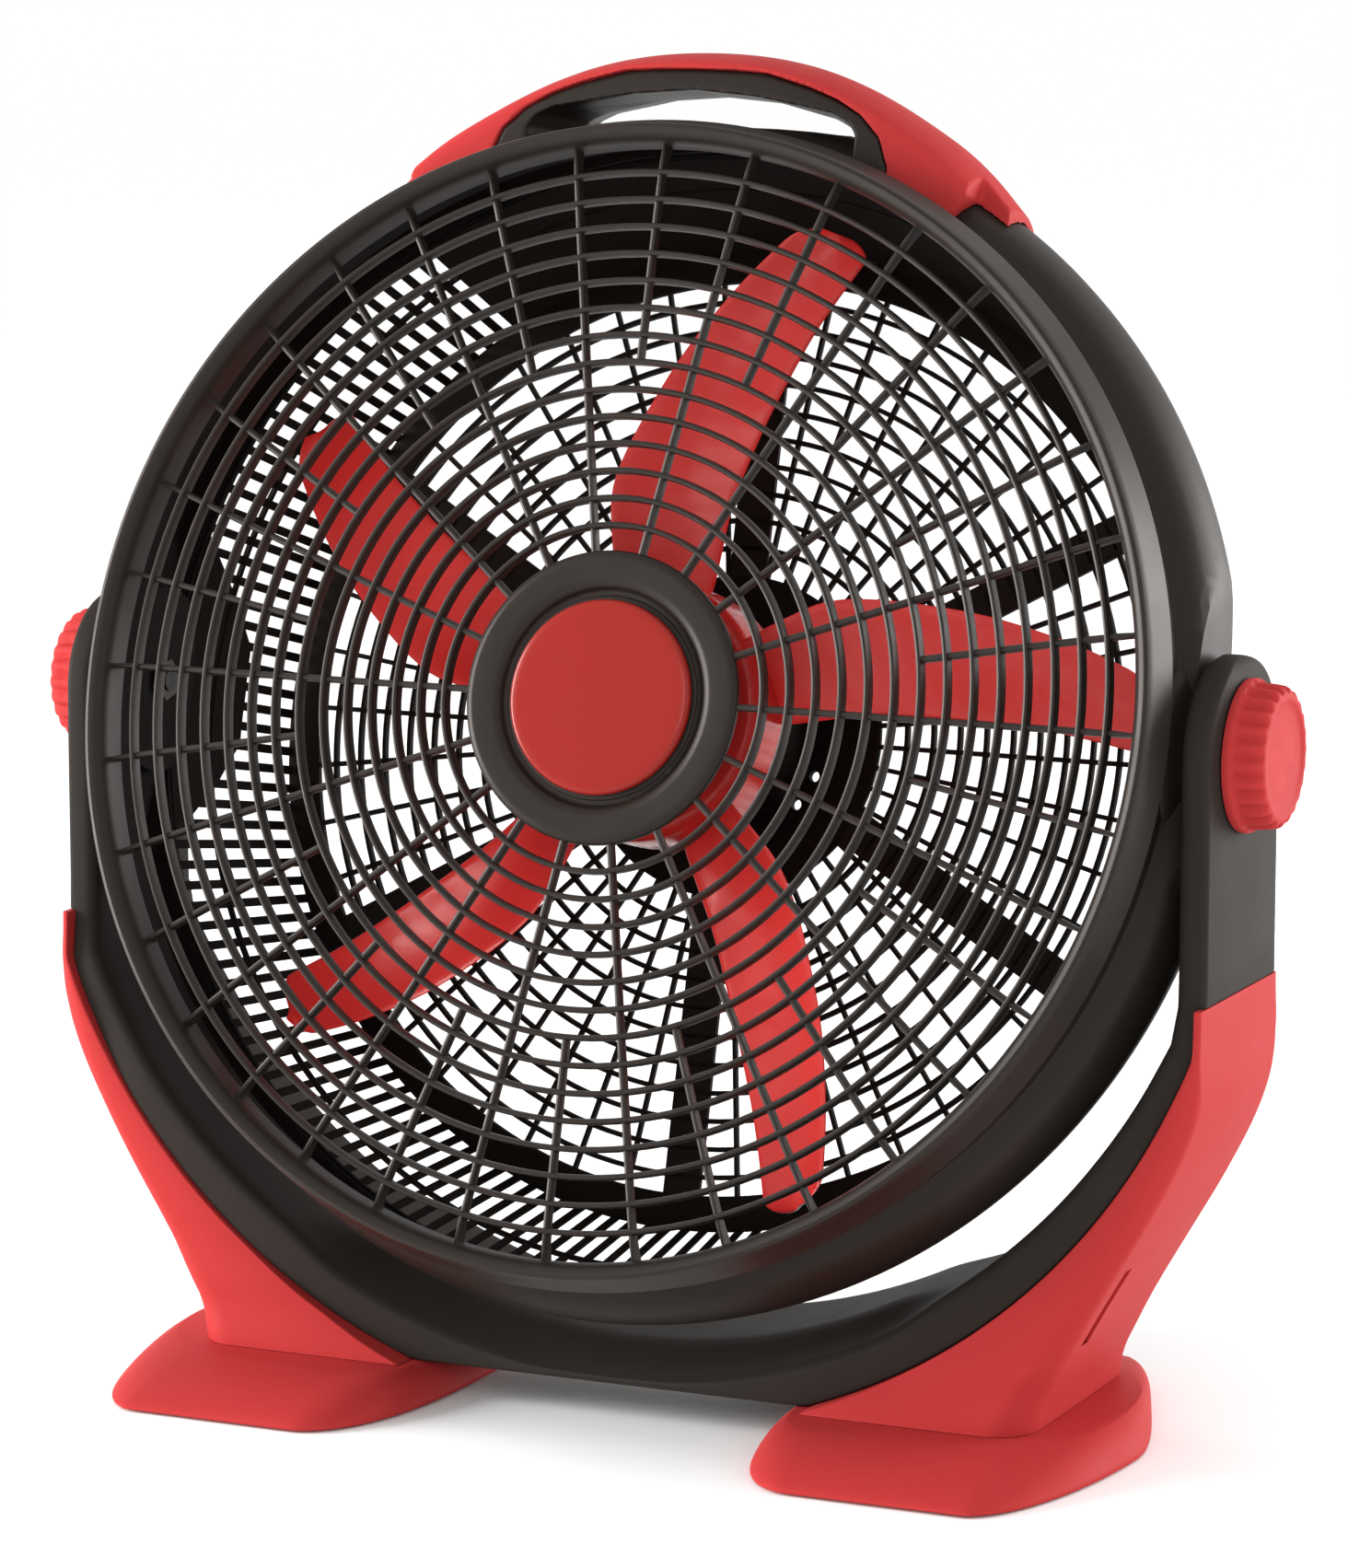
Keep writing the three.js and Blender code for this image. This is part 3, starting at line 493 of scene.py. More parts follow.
def drum():
    """The drum's ring, flat plates by the pivots, bosses and the recess under the handle."""
    shell = Skin().lathe(DRUM_OUTSIDE + DRUM_INSIDE, RIM_SIDES).build("drum", IDENTITY)
    plates = Skin()
    for side in (-1, 1):
        x0, x1 = sorted((side * (DRUM_HALF_WIDTH - WALL), side * (DRUM_HALF_WIDTH + 0.01)))
        outline = rounded([(-21, -110), (26, -110), (26, 110), (-21, 110)], 1)
        plates.extrude(outline, x0, x1, "side")
    floor = [(-70, FLOOR_UP - WALL), (70, FLOOR_UP - WALL), (70, FLOOR_UP), (-70, FLOOR_UP)]
    plates.extrude(floor, -21, 26)
    inner = plates.build("plates", IDENTITY)
    combine(inner, drum_solid().build("whole", IDENTITY), "INTERSECT")
    combine(shell, inner, "UNION")
    bosses = Skin()
    for side in (-1, 1):
        bosses.loft([[(side * x, y, up) for y, up in circle(radius, BOSS_SIDES)] for x, radius in BOSS])
    combine(shell, bosses.build("bosses", IDENTITY), "UNION")
    width = Skin().extrude([(-80, -300), (80, -300), (80, 300), (-80, 300)],
                           -DRUM_HALF_WIDTH, DRUM_HALF_WIDTH, "side")
    combine(shell, width.build("width", IDENTITY), "INTERSECT")
    recess = Skin().extrude(rounded([(-RECESS_HALF, FLOOR_UP), (RECESS_HALF, FLOOR_UP),
                                     (RECESS_HALF, 300), (-RECESS_HALF, 300)], 2), -80, 80)
    combine(shell, recess.build("recess", IDENTITY), "DIFFERENCE")
    inward = [face.normal.x * face.center.x + face.normal.z * face.center.z < 0
              for face in shell.data.polygons]
    shell.data.transform(HEAD)
    shade(shell, 30)
    shell.name = "drum"
    finish_piece(shell, "head", BLACK, "shell_black", "drum_shell")
    # The inward faces take the darker copy of the black plastic, painted shade inside the drum.
    shell.data.materials.append(INNER_SHADE)
    for face, inside in zip(shell.data.polygons, inward):
        face.material_index = int(inside)


# ---- rear guard: a basket with a flat ringed back and a slotted side ----

REAR_PLANE = -84
REAR_BACK = -88
PLATE = 75
BAND = (212.5, 229)
REAR_RINGS = 10
REAR_RING_PITCH = 12.9
REAR_RIBS = 48
SIDE_RING = -42
MOUTH = (260.1, -20)
SLATS = 160
ARM_ANGLES = [30 + 60 * k for k in range(6)]
TOP_PANEL = 35.5
PIVOT_PANEL = 16
PANEL_WALL = 2.6
MOTOR_SCREW_REACH = 28
COVER_SCREW_REACH = 38
SCREW_TURNS = (45, 135, 225, 315)
VENT_HOLES = [(47.3, -19.6), (47.3, -38.4)]
BAR = [(0.5, -0.38), (0.5, 0.3), (0.36, 0.5), (-0.36, 0.5), (-0.5, 0.3), (-0.5, -0.38),
       (-0.4, -0.5), (0.4, -0.5)]


def band_ring(skin, inner, outer, back, front, segments):
    """A flat ring with rounded edges."""
    skin.lathe(rounded([(inner, back), (outer, back), (outer, front), (inner, front)], 1.1, 2), segments)


def basket(ahead):
    """The basket's outer radius, widening from the flat back to its mouth."""
    return BAND[1] + (MOUTH[0] - BAND[1]) * (ahead - REAR_BACK) / (MOUTH[1] - REAR_BACK)


def drill(radius, start, end):
    """The profile of a round hole's cutting tool."""
    return [(0, start), (radius, start), (radius, end), (0, end)]


def turn_between(angle, other):
    """The angle between two directions, in degrees."""
    return abs((angle - other + 180) % 360 - 180)


def side_start(angle):
    """How far ahead the open slots reach at an angle: to the mouth, but less by the pivots."""
    beside = min(turn_between(angle, 0), turn_between(angle, 180))
    return lookup([(0, -58), (5.5, -57), (10, -45), (13.5, -31), (PIVOT_PANEL, MOUTH[1])], beside)


def side_panel(skin, facing, half, start, steps):
    """A solid stretch of the basket's side, from a depth at each angle to the mouth."""
    rings = []
    for k in range(steps + 1):
        angle = facing - half + 2 * half * k / steps
        a = math.radians(angle)
        low = start(angle)
        rings.append([(r * math.cos(a), -ahead, r * math.sin(a)) for r, ahead in (
            (basket(low), low), (basket(MOUTH[1]), MOUTH[1]),
            (basket(MOUTH[1]) - PANEL_WALL, MOUTH[1]), (basket(low) - PANEL_WALL, low))])
    skin.loft(rings)


def rear_guard():
    """The basket: rings, ribs, arms and slats, then its middle plate with vent and screw holes."""
    skin = Skin()
    band_ring(skin, 258.2, MOUTH[0], -22, -17.8, 208)
    band_ring(skin, *BAND, REAR_BACK, REAR_PLANE, 200)
    for k in range(1, REAR_RINGS + 1):
        radius = PLATE + REAR_RING_PITCH * k
        skin.lathe([(radius + 2.3 * a, REAR_PLANE - 1.9 + 3.6 * b) for a, b in BAR], 144)
    skin.lathe([(basket(SIDE_RING) - 1.6 + 2.6 * a, SIDE_RING + 2.4 * b) for a, b in BAR], 200)
    side_panel(skin, 90, TOP_PANEL, lambda angle: REAR_BACK + 1, 60)
    for facing in (0, 180):
        side_panel(skin, facing, PIVOT_PANEL, side_start, 32)
    start = REAR_BACK + 2.2
    for k in range(SLATS):
        angle = 360 * (k + 0.5) / SLATS
        if turn_between(angle, 90) < TOP_PANEL:
            continue
        end = side_start(angle) + (1 if side_start(angle) < MOUTH[1] else 0)
        a = math.radians(angle)
        skin.tube(BAR, [(basket(ahead) - 1.8, ahead, a, 4.1, 3) for ahead in (start, end)])
    for k in range(REAR_RIBS):
        angle = 360 / REAR_RIBS * k
        if min(turn_between(angle, arm) for arm in ARM_ANGLES) < 3:
            continue
        a = math.radians(angle)
        skin.tube(BAR, [(radius, REAR_PLANE - 2.1, a, 2.2, 3) for radius in (PLATE - 1, BAND[0] + 1)])
    for angle in ARM_ANGLES:
        a = math.radians(angle)
        skin.tube(BAR, [(radius, REAR_PLANE - 2, a, 18, 3.8) for radius in (PLATE - 3, BAND[0] + 3)])
    piece = skin.build("rear_guard", IDENTITY)
    plate = Skin().lathe([(0, REAR_BACK), (PLATE - 1, REAR_BACK), (PLATE, REAR_BACK + 1),
                          (PLATE, REAR_PLANE - 1), (PLATE - 1, REAR_PLANE), (0, REAR_PLANE)], 120)
    plate = plate.build("plate", IDENTITY)
    holes = Skin()
    for radius, turn in VENT_HOLES:
        holes.lathe(drill(2.5, -92, -80), 32, polar(radius, math.radians(turn)))
    for reach in (MOTOR_SCREW_REACH, COVER_SCREW_REACH):
        for turn in SCREW_TURNS:
            holes.lathe(drill(2, -92, -80), 20, polar(reach, math.radians(turn)))
    combine(plate, holes.build("holes", IDENTITY), "DIFFERENCE")
    joined(piece, plate)
    piece.data.transform(HEAD)
    shade(piece, 32)
    finish_piece(piece, "head", INNER_SHADE, "shell_black", "rear_grille")


def motor_shroud():
    """The can round the motor, with ribs on its front."""
    skin = Skin()
    skin.lathe([(41, -83.7), (44, -83.7), (44, -26.5), (43.4, -24), (42, -22.5), (40, -22), (12, -22),
                (12, -24.5), (41, -24.5)], 96)
    for k in range(18):
        a = math.radians(20 * k)
        skin.tube(BAR, [(radius, -22.4, a, 2, 1) for radius in (15, 38)])
    piece = skin.build("motor_shell", HEAD, 34)
    finish_piece(piece, "head", INNER_SHADE, "shell_black", "motor_shroud")


# ---- fan wheel ----

WHEEL_HUB = 60
WHEEL_RADIUS = 231
BLADES = 5
BLADE_ROOT = 57.8
BLADE_TIP = 222
TIP_REACH = 8.8
BLADE_HALF_THICKNESS = 1.15
BLADE_START = [(57, -1), (80, 2), (100, 3.7), (140, 3), (185, 1.7), (220, 0), (232, -0.5)]
BLADE_SPAN = [(57, 36), (80, 31.5), (100, 28.5), (140, 20.1), (185, 13.3), (220, 9.3), (232, 8)]
BLADE_MIDDLE = [(57, 8), (100, 9), (140, 3), (185, -6), (232, -17)]
BLADE_RISE = [(57, 27), (100, 24.5), (140, 18), (185, 14), (232, 12)]


def softened(table, x, reach=9):
    """Like lookup, averaged over a stretch so the line bends gently."""
    return sum(lookup(table, x + reach * k / 4) for k in range(-4, 5)) / 9


def blade_section(radius, turn, steps=18):
    """The blade's closed outline at a radius, narrowing to a round tip."""
    t = min(1, max(0, (radius - BLADE_TIP) / (WHEEL_RADIUS - BLADE_TIP)))
    pull = 1 - math.sqrt(1 - 0.94 * t * t)
    span = softened(BLADE_SPAN, radius)
    start = softened(BLADE_START, radius) + pull * span * 0.5
    faces = []
    for lift in (1, -1):
        face = []
        for k in range(steps + 1):
            along = (1 - math.cos(math.pi * k / steps)) / 2
            angle = math.radians(start + span * (1 - pull) * along + turn)
            thick = BLADE_HALF_THICKNESS * (1 - abs(2 * along - 1) ** 14) ** 0.5
            ahead = (softened(BLADE_MIDDLE, radius) + softened(BLADE_RISE, radius) * (along - 0.5)
                     - 3 * math.sin(math.pi * along) + lift * thick)
            face.append((radius * math.cos(angle), -ahead, radius * math.sin(angle)))
        faces.append(face)
    return faces[0] + faces[1][-2:0:-1]


def fan_wheel():
    """The hub with its inner ribs, and the blades."""
    skin = Skin()
    hub = rounded([(5.3, 24), (56, 24), (WHEEL_HUB, 20), (WHEEL_HUB, -15), (56.5, -15),
                   (56.5, 20), (12, 20), (12, 9.5), (5.3, 9.5)], 2, 3)
    skin.lathe(hub, 120)
    radii = [BLADE_ROOT + (BLADE_TIP - BLADE_ROOT) * k / 30 for k in range(31)]
    radii += [BLADE_TIP + TIP_REACH * math.sin(math.pi / 2 * k / 7) for k in range(1, 8)]
    for k in range(BLADES):
        skin.loft([blade_section(radius, 360 * k / BLADES) for radius in radii])
    for k in range(10):
        angle = math.radians(36 * k + 10)
        skin.tube(BAR, [(13, 14.5, angle, 2.2, 11), (57, 14.5, angle, 2.2, 11)])
    piece = skin.build("wheel", HEAD, 40)
    finish_piece(piece, "rotor", WHEEL, "wheel_red", "fan_wheel")


# ---- carry handle ----

HANDLE_TOP = [(0, 300.4), (40, 297), (77, 285.2), (114, 265), (134, 250), (151, 233)]
HANDLE_FALL = [(34, 17), (33.2, 12), (31, 9), (27, 6.4), (21, 3.6), (13, 1.2), (5, 0.1), (-3, 0),
               (-10, 1.6), (-15, 4.6), (-18.4, 9), (-20, 16)]
LINER = [(0, 287.6), (20, 287.3), (34, 286.5), (55, 280.6), (70, 275), (82, 268), (92, 258), (97, 245),
         (98, 200)]
NOTCH = ((120, 150), (200, 150), (200, 262), (137, 262), (136.4, 234), (134, 231), (129.8, 225.3),
         (120, 212))
TUNNEL = ((60, 88, 6), (34, 81, 3.5), (20, 76, 1.5), (0, 69, -0.5), (-14, 70, -3.5), (-30, 76, -7))


def mirror_line(half):
    """A line from the middle to the right, completed on the other side, left to right."""
    return [(-x, z) for x, z in reversed(half) if x > 0] + list(half)


def handle_body(line, falls, low):
    """The crowned bar under a top line, lowered by each fall at its place ahead."""
    rings = []
    for ahead, fall in falls:
        ring = [(x, -ahead, up - fall) for x, up in line]
        rings.append(ring + [(line[-1][0], -ahead, low), (line[0][0], -ahead, low)])
    return rings


def grown_drum():
    """The drum a little larger and filled below, to cut the handle's underside by."""
    piece = drum_solid(0.3).build("grown", IDENTITY)
    block = Skin().extrude([(-300, -300), (300, -300), (300, 190), (-300, 190)], -70, 70)
    return combine(piece, block.build("block", IDENTITY), "UNION")


def remeshed(piece, voxel, passes):
    """The piece rebuilt as one even skin with softly rounded edges."""
    modifier = piece.modifiers.new("skin", "REMESH")
    modifier.mode = "VOXEL"
    modifier.voxel_size = voxel * MM
    modifier.adaptivity = 0
    applied(piece)
    modifier = piece.modifiers.new("soften", "SMOOTH")
    modifier.factor = 0.5
    modifier.iterations = passes
    return applied(piece)


def liner_block(grow):
    """The arch under the cover that the dark liner fills."""
    line = [(x * (1 + grow / 100), up + grow) for x, up in mirror_line(LINER)]
    return Skin().extrude(line, -60, 60)


def handle():
    """The red cover over a dark liner with the finger tunnel."""
    line = smooth_line(mirror_line(HANDLE_TOP), 10)
    body = Skin().loft(handle_body(line, HANDLE_FALL, 200)).build("body", IDENTITY)
    inside = [(ahead - math.copysign(0.8, ahead), fall + 3) for ahead, fall in HANDLE_FALL]
    liner = Skin().loft(handle_body(line, inside, 200)).build("liner", IDENTITY)
    combine(liner, liner_block(0).build("arch", IDENTITY), "INTERSECT")
    combine(body, liner_block(0.35).build("arch", IDENTITY), "DIFFERENCE")
    notches = Skin()
    for side in (-1, 1):
        notches.extrude([(side * x, up) for x, up in NOTCH], -60, -16)
    combine(body, notches.build("notches", IDENTITY), "DIFFERENCE")
    rings = []
    for ahead, half, fall in TUNNEL:
        ceiling = [(-half, 190), (-half, 263), (-half + 4, 268.5), (-half + 12, 272.4), (-30, 279),
                   (0, 281.4), (30, 279), (half - 12, 272.4), (half - 4, 268.5), (half, 263), (half, 190)]
        rings.append([(x, -ahead, up - fall if up > 200 else up) for x, up in ceiling])
    combine(liner, Skin().loft(rings).build("tunnel", IDENTITY), "DIFFERENCE")
    combine(liner, grown_drum(), "DIFFERENCE")
    combine(body, grown_drum(), "DIFFERENCE")
    for piece, name, material, slot, node in (
            (body, "handle_shell", RED, "shell_red", "handle_cover"),
            (liner, "handle_liner", BLACK, "shell_black", "handle_grip")):
        remeshed(piece, 1.0, 6)
        piece.data.transform(HEAD)
        shade(piece, 50)
        piece.name = name
        finish_piece(piece, "head", material, slot, node)


# ---- yoke ----

ARM_INNER = 265
ARM_OUTER = 279
ARM_HALF = 46
ARM_TOP = 43
YOKE_BORE = 289
YOKE_CURVE = 295
CURVE_DROP = 18
FLAT_HALF = 97
COVER_TOP = -103
STEP_IN = 3.5
PAD_RISE = 6.3
FRONT_AT = [(-180, -55), (-135, -52), (-95, -46), (ARM_TOP, -46)]
BACK_AT = [(-150, 50), (-95, 46), (ARM_TOP, 46)]
ARM_RADII = (5.5, 3, 3, 4)


def curve_outer(angle):
    """The outer point of the yoke at a polar angle below the pivot."""
    c, s = math.cos(angle), math.sin(angle)
    b = CURVE_DROP * s
    t = -b + math.sqrt(b * b - CURVE_DROP ** 2 + YOKE_CURVE ** 2)
    flat = -CURVE_DROP - math.sqrt(YOKE_CURVE ** 2 - FLAT_HALF ** 2)
    if abs(t * c) < FLAT_HALF or t * s < flat:
        t = flat / s
    return t * c, t * s


def yoke_station(inner, outer, front, back, rise=0.0, radii=(5.5, 1.6, 1.6, 3)):
    """A rounded band section between an inner and an outer point, with its raised pad."""
    across = Vector((outer[0] - inner[0], 0, outer[1] - inner[1]))
    width = across.length
    across.normalize()
    start = Vector((inner[0], 0, inner[1]))
    front_inner, front_outer, back_outer, back_inner = radii
    corners = []
    for centre, radius, first in (
            ((front_inner, front + front_inner), front_inner, 180),
            ((width - front_outer, front + front_outer), front_outer, 270),
            ((width - back_outer, back - back_outer), back_outer, 0),
            ((back_inner, back - back_inner), back_inner, 90)):
        corners += arc(centre, radius, first, first + 90, 5)
    inner_side = []
    for k in range(1, 14):
        inner_side.append((0, back - back_inner + (front + front_inner - back + back_inner) * k / 14))
    ring = []
    for depth, y in corners + inner_side:
        lift = 0
        if rise and depth < 0.6 * width:
            t = (y - front) / 34
            grow = eased([(0, -0.75), (0.2, -0.5), (1, 1)], t) * (1 - depth / (0.6 * width))
            lift = rise * PAD_RISE * grow
        ring.append(start + across * (depth - lift) + Vector((0, y, 0)))
    return ring


def yoke():
    """One band from the right arm's round top down, across and up to the left one."""
    rings = []
    for k in range(17):
        angle = math.radians(88 - 88 * k / 16)
        height = ARM_TOP * math.sin(angle)
        half = max(2.5, ARM_HALF * math.cos(angle))
        slim = 3.2 * max(0, math.sin(angle)) ** 14
        radii = (min(5.5, half * 0.4), min(3.5, half * 0.4), min(3.5, half * 0.4), min(4, half * 0.4))
        rings.append(yoke_station((ARM_INNER + slim, height), (ARM_OUTER - slim, height),
                                  -half, half, 0, radii))
    for height in (-25, -50, -75, -90, -102.2):
        rings.append(yoke_station((ARM_INNER, height), (ARM_OUTER, height),
                                  eased(FRONT_AT, height), eased(BACK_AT, height), 0, ARM_RADII))
    rings.append(yoke_station((ARM_INNER, -103.2), (ARM_OUTER - 0.6, -103.2),
                              eased(FRONT_AT, COVER_TOP), eased(BACK_AT, COVER_TOP), 0, ARM_RADII))
    rings.append(yoke_station((ARM_INNER, -103.6), (ARM_OUTER - STEP_IN, -103.6),
                              eased(FRONT_AT, COVER_TOP), eased(BACK_AT, COVER_TOP)))
    bottom = math.radians(-90)
    start = math.radians(-24.4)
    steps = 60
    for k in range(steps + 1):
        angle = start + (bottom - start) * k / steps
        inner = (YOKE_BORE * math.cos(angle), YOKE_BORE * math.sin(angle))
        if inner[0] > ARM_INNER:
            inner = (ARM_INNER, ARM_INNER * math.tan(angle))
        outer = curve_outer(angle)
        if outer[0] > ARM_OUTER - STEP_IN:
            outer = (ARM_OUTER - STEP_IN, (ARM_OUTER - STEP_IN) * math.tan(angle))
        spread = abs(math.degrees(angle) + 90)
        rise = eased([(26, 1), (35, 0)], spread)
        rings.append(yoke_station(inner, outer, eased(FRONT_AT, inner[1]), eased(BACK_AT, inner[1]), rise))
    left = [[Vector((-p.x, p.y, p.z)) for p in ring] for ring in reversed(rings[:-1])]
    piece = Skin().loft(rings + left).build("yoke", STAND, 38)
    finish_piece(piece, "stand", YOKE, "shell_black", "yoke_frame")


# ---- leg covers ----

LEG_OUTER = [(COVER_TOP - 0.3, 279), (-125, 279), (-145, 278.2), (-168, 271), (-196, 257), (-222, 242),
             (-246, 228), (-270, 215), (-286, 207.5), (-296.7, 205)]
LEG_FRONT = [(COVER_TOP, -53), (-150, -56), (-250, -57), (-275, -60), (-296.7, -66)]
LEG_BACK = [(COVER_TOP, 48), (-150, 52), (-250, 53), (-275, 56), (-296.7, 62)]
SLIT = (-36.5, -28)
SLIT_PATH = [(-221, 250), (-239, 239.5), (-257, 228.3)]


def leg_inner(height):
    """How far out the leg's inner side is, along the yoke's curve."""
    reach = YOKE_CURVE + 0.3
    drop = -CURVE_DROP - height
    if drop >= reach:
        return FLAT_HALF + 2
    return max(FLAT_HALF + 2, min(ARM_OUTER - STEP_IN + 0.3, math.sqrt(reach ** 2 - drop ** 2)))


def label(side):
    return "left" if side < 0 else "right"


def leg_cover(side):
    """The red cover below the arm, with a slit near its front edge."""
    curve = smooth_line(LEG_OUTER, 6)
    rings = []
    for height, outer in curve:
        inner = leg_inner(height)
        front = eased(LEG_FRONT[::-1], height)
        back = eased(LEG_BACK[::-1], height)
        deep = min(outer - inner, 60)
        front_outer = min(lookup([(-296, 20), (-262, 13), (-220, 9)], height), deep * 0.75)
        back_outer = min(8, deep * 0.75)
        small = min(1.2, deep * 0.2)
        section = []
        for centre, radius, first, count in (
                ((inner + small, front + small), small, 180, 3),
                ((outer - front_outer, front + front_outer), front_outer, 270, 9),
                ((outer - back_outer, back - back_outer), back_outer, 0, 9),
                ((inner + small, back - small), small, 90, 3)):
            section += arc(centre, radius, first, first + 90, count)
        rings.append([(x, y, height) for x, y in section])
    skin = Skin().loft(rings)
    if side < 0:
        skin = skin.mirrored()
    piece = skin.build("leg_" + label(side), STAND, 36)
    front, back = SLIT
    slit = Skin().loft([[(side * (x - 12), front, z - 4), (side * (x + 12), front, z + 4),
                         (side * (x + 12), back, z + 4), (side * (x - 12), back, z - 4)]
                        for z, x in SLIT_PATH])
    combine(piece, slit.build("slit", STAND), "DIFFERENCE")
    shade(piece, 36)
    finish_piece(piece, "stand", RED, "shell_red", "leg_cover_" + label(side))


# ---- feet ----

FOOT_CENTRE = 157
FOOT_REACH = 132
RIM_CENTRE, RIM_CORNER = 161, 41
RIM_CORE, RIM_BULGE, RIM_CLOSE = 39, 41, 0.985
FOOT_TOP_HALF, FOOT_TOP_DEPTH, FOOT_TOP_SLANT = 69, 81, 0.16
OUTER_FULLNESS, INNER_FULLNESS = 2 / 3, 0.4
TOP_TURN = 0.689
TOP_CORNER_TURNS = (64, 67, 73, 80)
NARROW_FROM, NARROW_OVER = -16, 72
FOOT_LEVELS = [
    (1, 0.03), (1.3, 0.014), (2, 0.004), (2.8, 0.004), (3.5, 0.02), (4.5, 0.05), (6, 0.11), (8, 0.2),
    (10, 0.31), (12, 0.44), (13.6, 0.57), (14.8, 0.69), (15.7, 0.8), (16.3, 0.88), (16.75, 0.95), (17, 1)]
PAD_REACH = 104
PAD_SOCKET = (9.3, 3.3)
SCREW_REACH = 34
SCREW_HOLES = [(2.5, 18.5), (5, 7)]


def foot_top(turn, side):
    """A point on the foot's top edge: side 1 is the outer side, -1 the fuller inner one."""
    fullness = OUTER_FULLNESS if side > 0 else INNER_FULLNESS
    x = FOOT_TOP_HALF * math.cos(turn) ** fullness
    return x, (FOOT_TOP_DEPTH - side * FOOT_TOP_SLANT * x) * math.sin(turn) ** fullness


def rear_narrowing(y, climb):
    """How much the outer side draws in towards the back, less so at the top edge."""
    t = max(0, (y - NARROW_FROM) / NARROW_OVER)
    return 1 - (0.28 - 0.16 * climb) * t * t / (t + 0.25)


def foot_ring(height, climb, steps=24):
    """A level of the foot, between its curved rim on the floor and its top edge."""
    outline = []
    for side in (1, -1):
        rim = []
        top = []
        for k in range(steps + 1):
            turn = math.pi / 2 * k / steps
            closing = (RIM_CLOSE * math.sin(turn)) ** (2 if side > 0 else 3)
            rim.append((RIM_CORE + RIM_BULGE * math.sqrt(1 - closing), (FOOT_REACH - 2) * math.sin(turn)))
            top.append(foot_top(TOP_TURN * turn, side))
        rim += [(44.5, FOOT_REACH - 0.5)]
        rim += [(RIM_CORNER * t, FOOT_REACH) for t in (1, 0.66, 0.33)]
        top += [foot_top(math.radians(turn), side) for turn in TOP_CORNER_TURNS]
        quarter = [(a + (c - a) * climb, b + (d - b) * climb) for (a, b), (c, d) in zip(rim, top)]
        half = [(x, -y) for x, y in reversed(quarter[1:])] + quarter
        if side > 0:
            half = [(x * rear_narrowing(y, climb), y) for x, y in half]
        outline += [(side * x, side * y) for x, y in half]
    return [(RIM_CENTRE + x, y, height) for x, y in outline]


def foot(side):
    """A foot with sockets for its two pads and its two screws."""
    skin = Skin().loft([foot_ring(z, climb) for z, climb in FOOT_LEVELS])
    if side < 0:
        skin = skin.mirrored()
    piece = skin.build("foot_shell_" + label(side), GROUND, 40)
    sockets = Skin()
    for reach, count, holes in ((PAD_REACH, 40, [PAD_SOCKET]), (SCREW_REACH, 24, SCREW_HOLES)):
        for y in (-reach, reach):
            for radius, top in holes:
                ring = circle(radius, count, (side * FOOT_CENTRE, y))
                sockets.loft([[(a, b, z) for a, b in ring] for z in (-1, top)])
    combine(piece, sockets.build("sockets", GROUND), "DIFFERENCE")
    shade(piece, 30)
    finish_piece(piece, "stand", RED, "shell_red", "foot_" + label(side))


# ---- tilt knobs ----

KNOB_FLUTES = 24
KNOB_LEVELS = [(279.3, 32.6, 0), (279.8, 33.4, 0), (281.6, 33.6, 0), (283, 33.4, 0.1), (284.2, 32.4, 0.7),
               (285.4, 31.9, 1), (291, 31.5, 1), (294.2, 31, 1), (295.9, 30.2, 0.85), (296.9, 28.9, 0.5),
               (297.38, 27.2, 0.15), (297.38, 25.6, 0), (297.1, 24.6, 0), (296.5, 23.6, 0), (296.2, 20, 0),
               (296.05, 12, 0), (296, 0.01, 0)]


def knob(side):
    """A fluted knob, hollow at the back where its bolt goes in."""
    count = KNOB_FLUTES * 8
    rings = []
    for x, radius, flute in KNOB_LEVELS:
        ring = []
        for k in range(count):
            angle = 2 * math.pi * k / count
            wave = 0.5 - 0.5 * math.cos(KNOB_FLUTES * angle)
            r = radius - 2.3 * flute * wave ** 1.3
            ring.append((side * x, r * math.cos(angle), r * math.sin(angle)))
        rings.append(ring)
    inner = [(279.3, 12), (287.5, 12), (287.9, 5.3), (288, 0.01)]
    back = [[(side * x, y, up) for y, up in circle(radius, count)] for x, radius in reversed(inner)]
    piece = Skin().loft(back + rings).build("knob_cap_" + label(side), STAND, 34)
    finish_piece(piece, "knob_" + label(side), RED, "shell_red", "tilt_knob_" + label(side))


# ---- motor cover and speed knob ----

DIAL_PLACE = (0, 9)
CORD_PLACE = (-22, -8)
COVER_SLOTS = (-6, -1, 4, 9)


def motor_cover():
    """The cap behind the motor, with holes for dial, cord and screws, and vent slots."""
    profile = rounded([(0, -106), (31, -106), (34, -96), (35, -90.8), (41.5, -90.8), (41.5, -88.3),
                       (32.4, -88.3), (31.6, -96), (29.3, -103.5), (0, -103.5)], 1, 4, False)
    piece = Skin().lathe(profile, 128).build("motor_cap", IDENTITY)
    holes = Skin()
    for radius, place in ((4, DIAL_PLACE), (5.4, CORD_PLACE)):
        holes.lathe(drill(radius, -110, -100), 40, place)
    for turn in SCREW_TURNS:
        holes.lathe(drill(1.8, -94, -86), 24, polar(COVER_SCREW_REACH, math.radians(turn)))
    for x in COVER_SLOTS:
        outline = rounded([(x - 1, -24), (x + 1, -24), (x + 1, -13), (x - 1, -13)], 0.9, 3)
        holes.extrude(outline, 102, 108)
    combine(piece, holes.build("holes", IDENTITY), "DIFFERENCE")
    piece.data.transform(HEAD)
    shade(piece, 34)
    finish_piece(piece, "head", BLACK, "shell_black", "motor_cover")


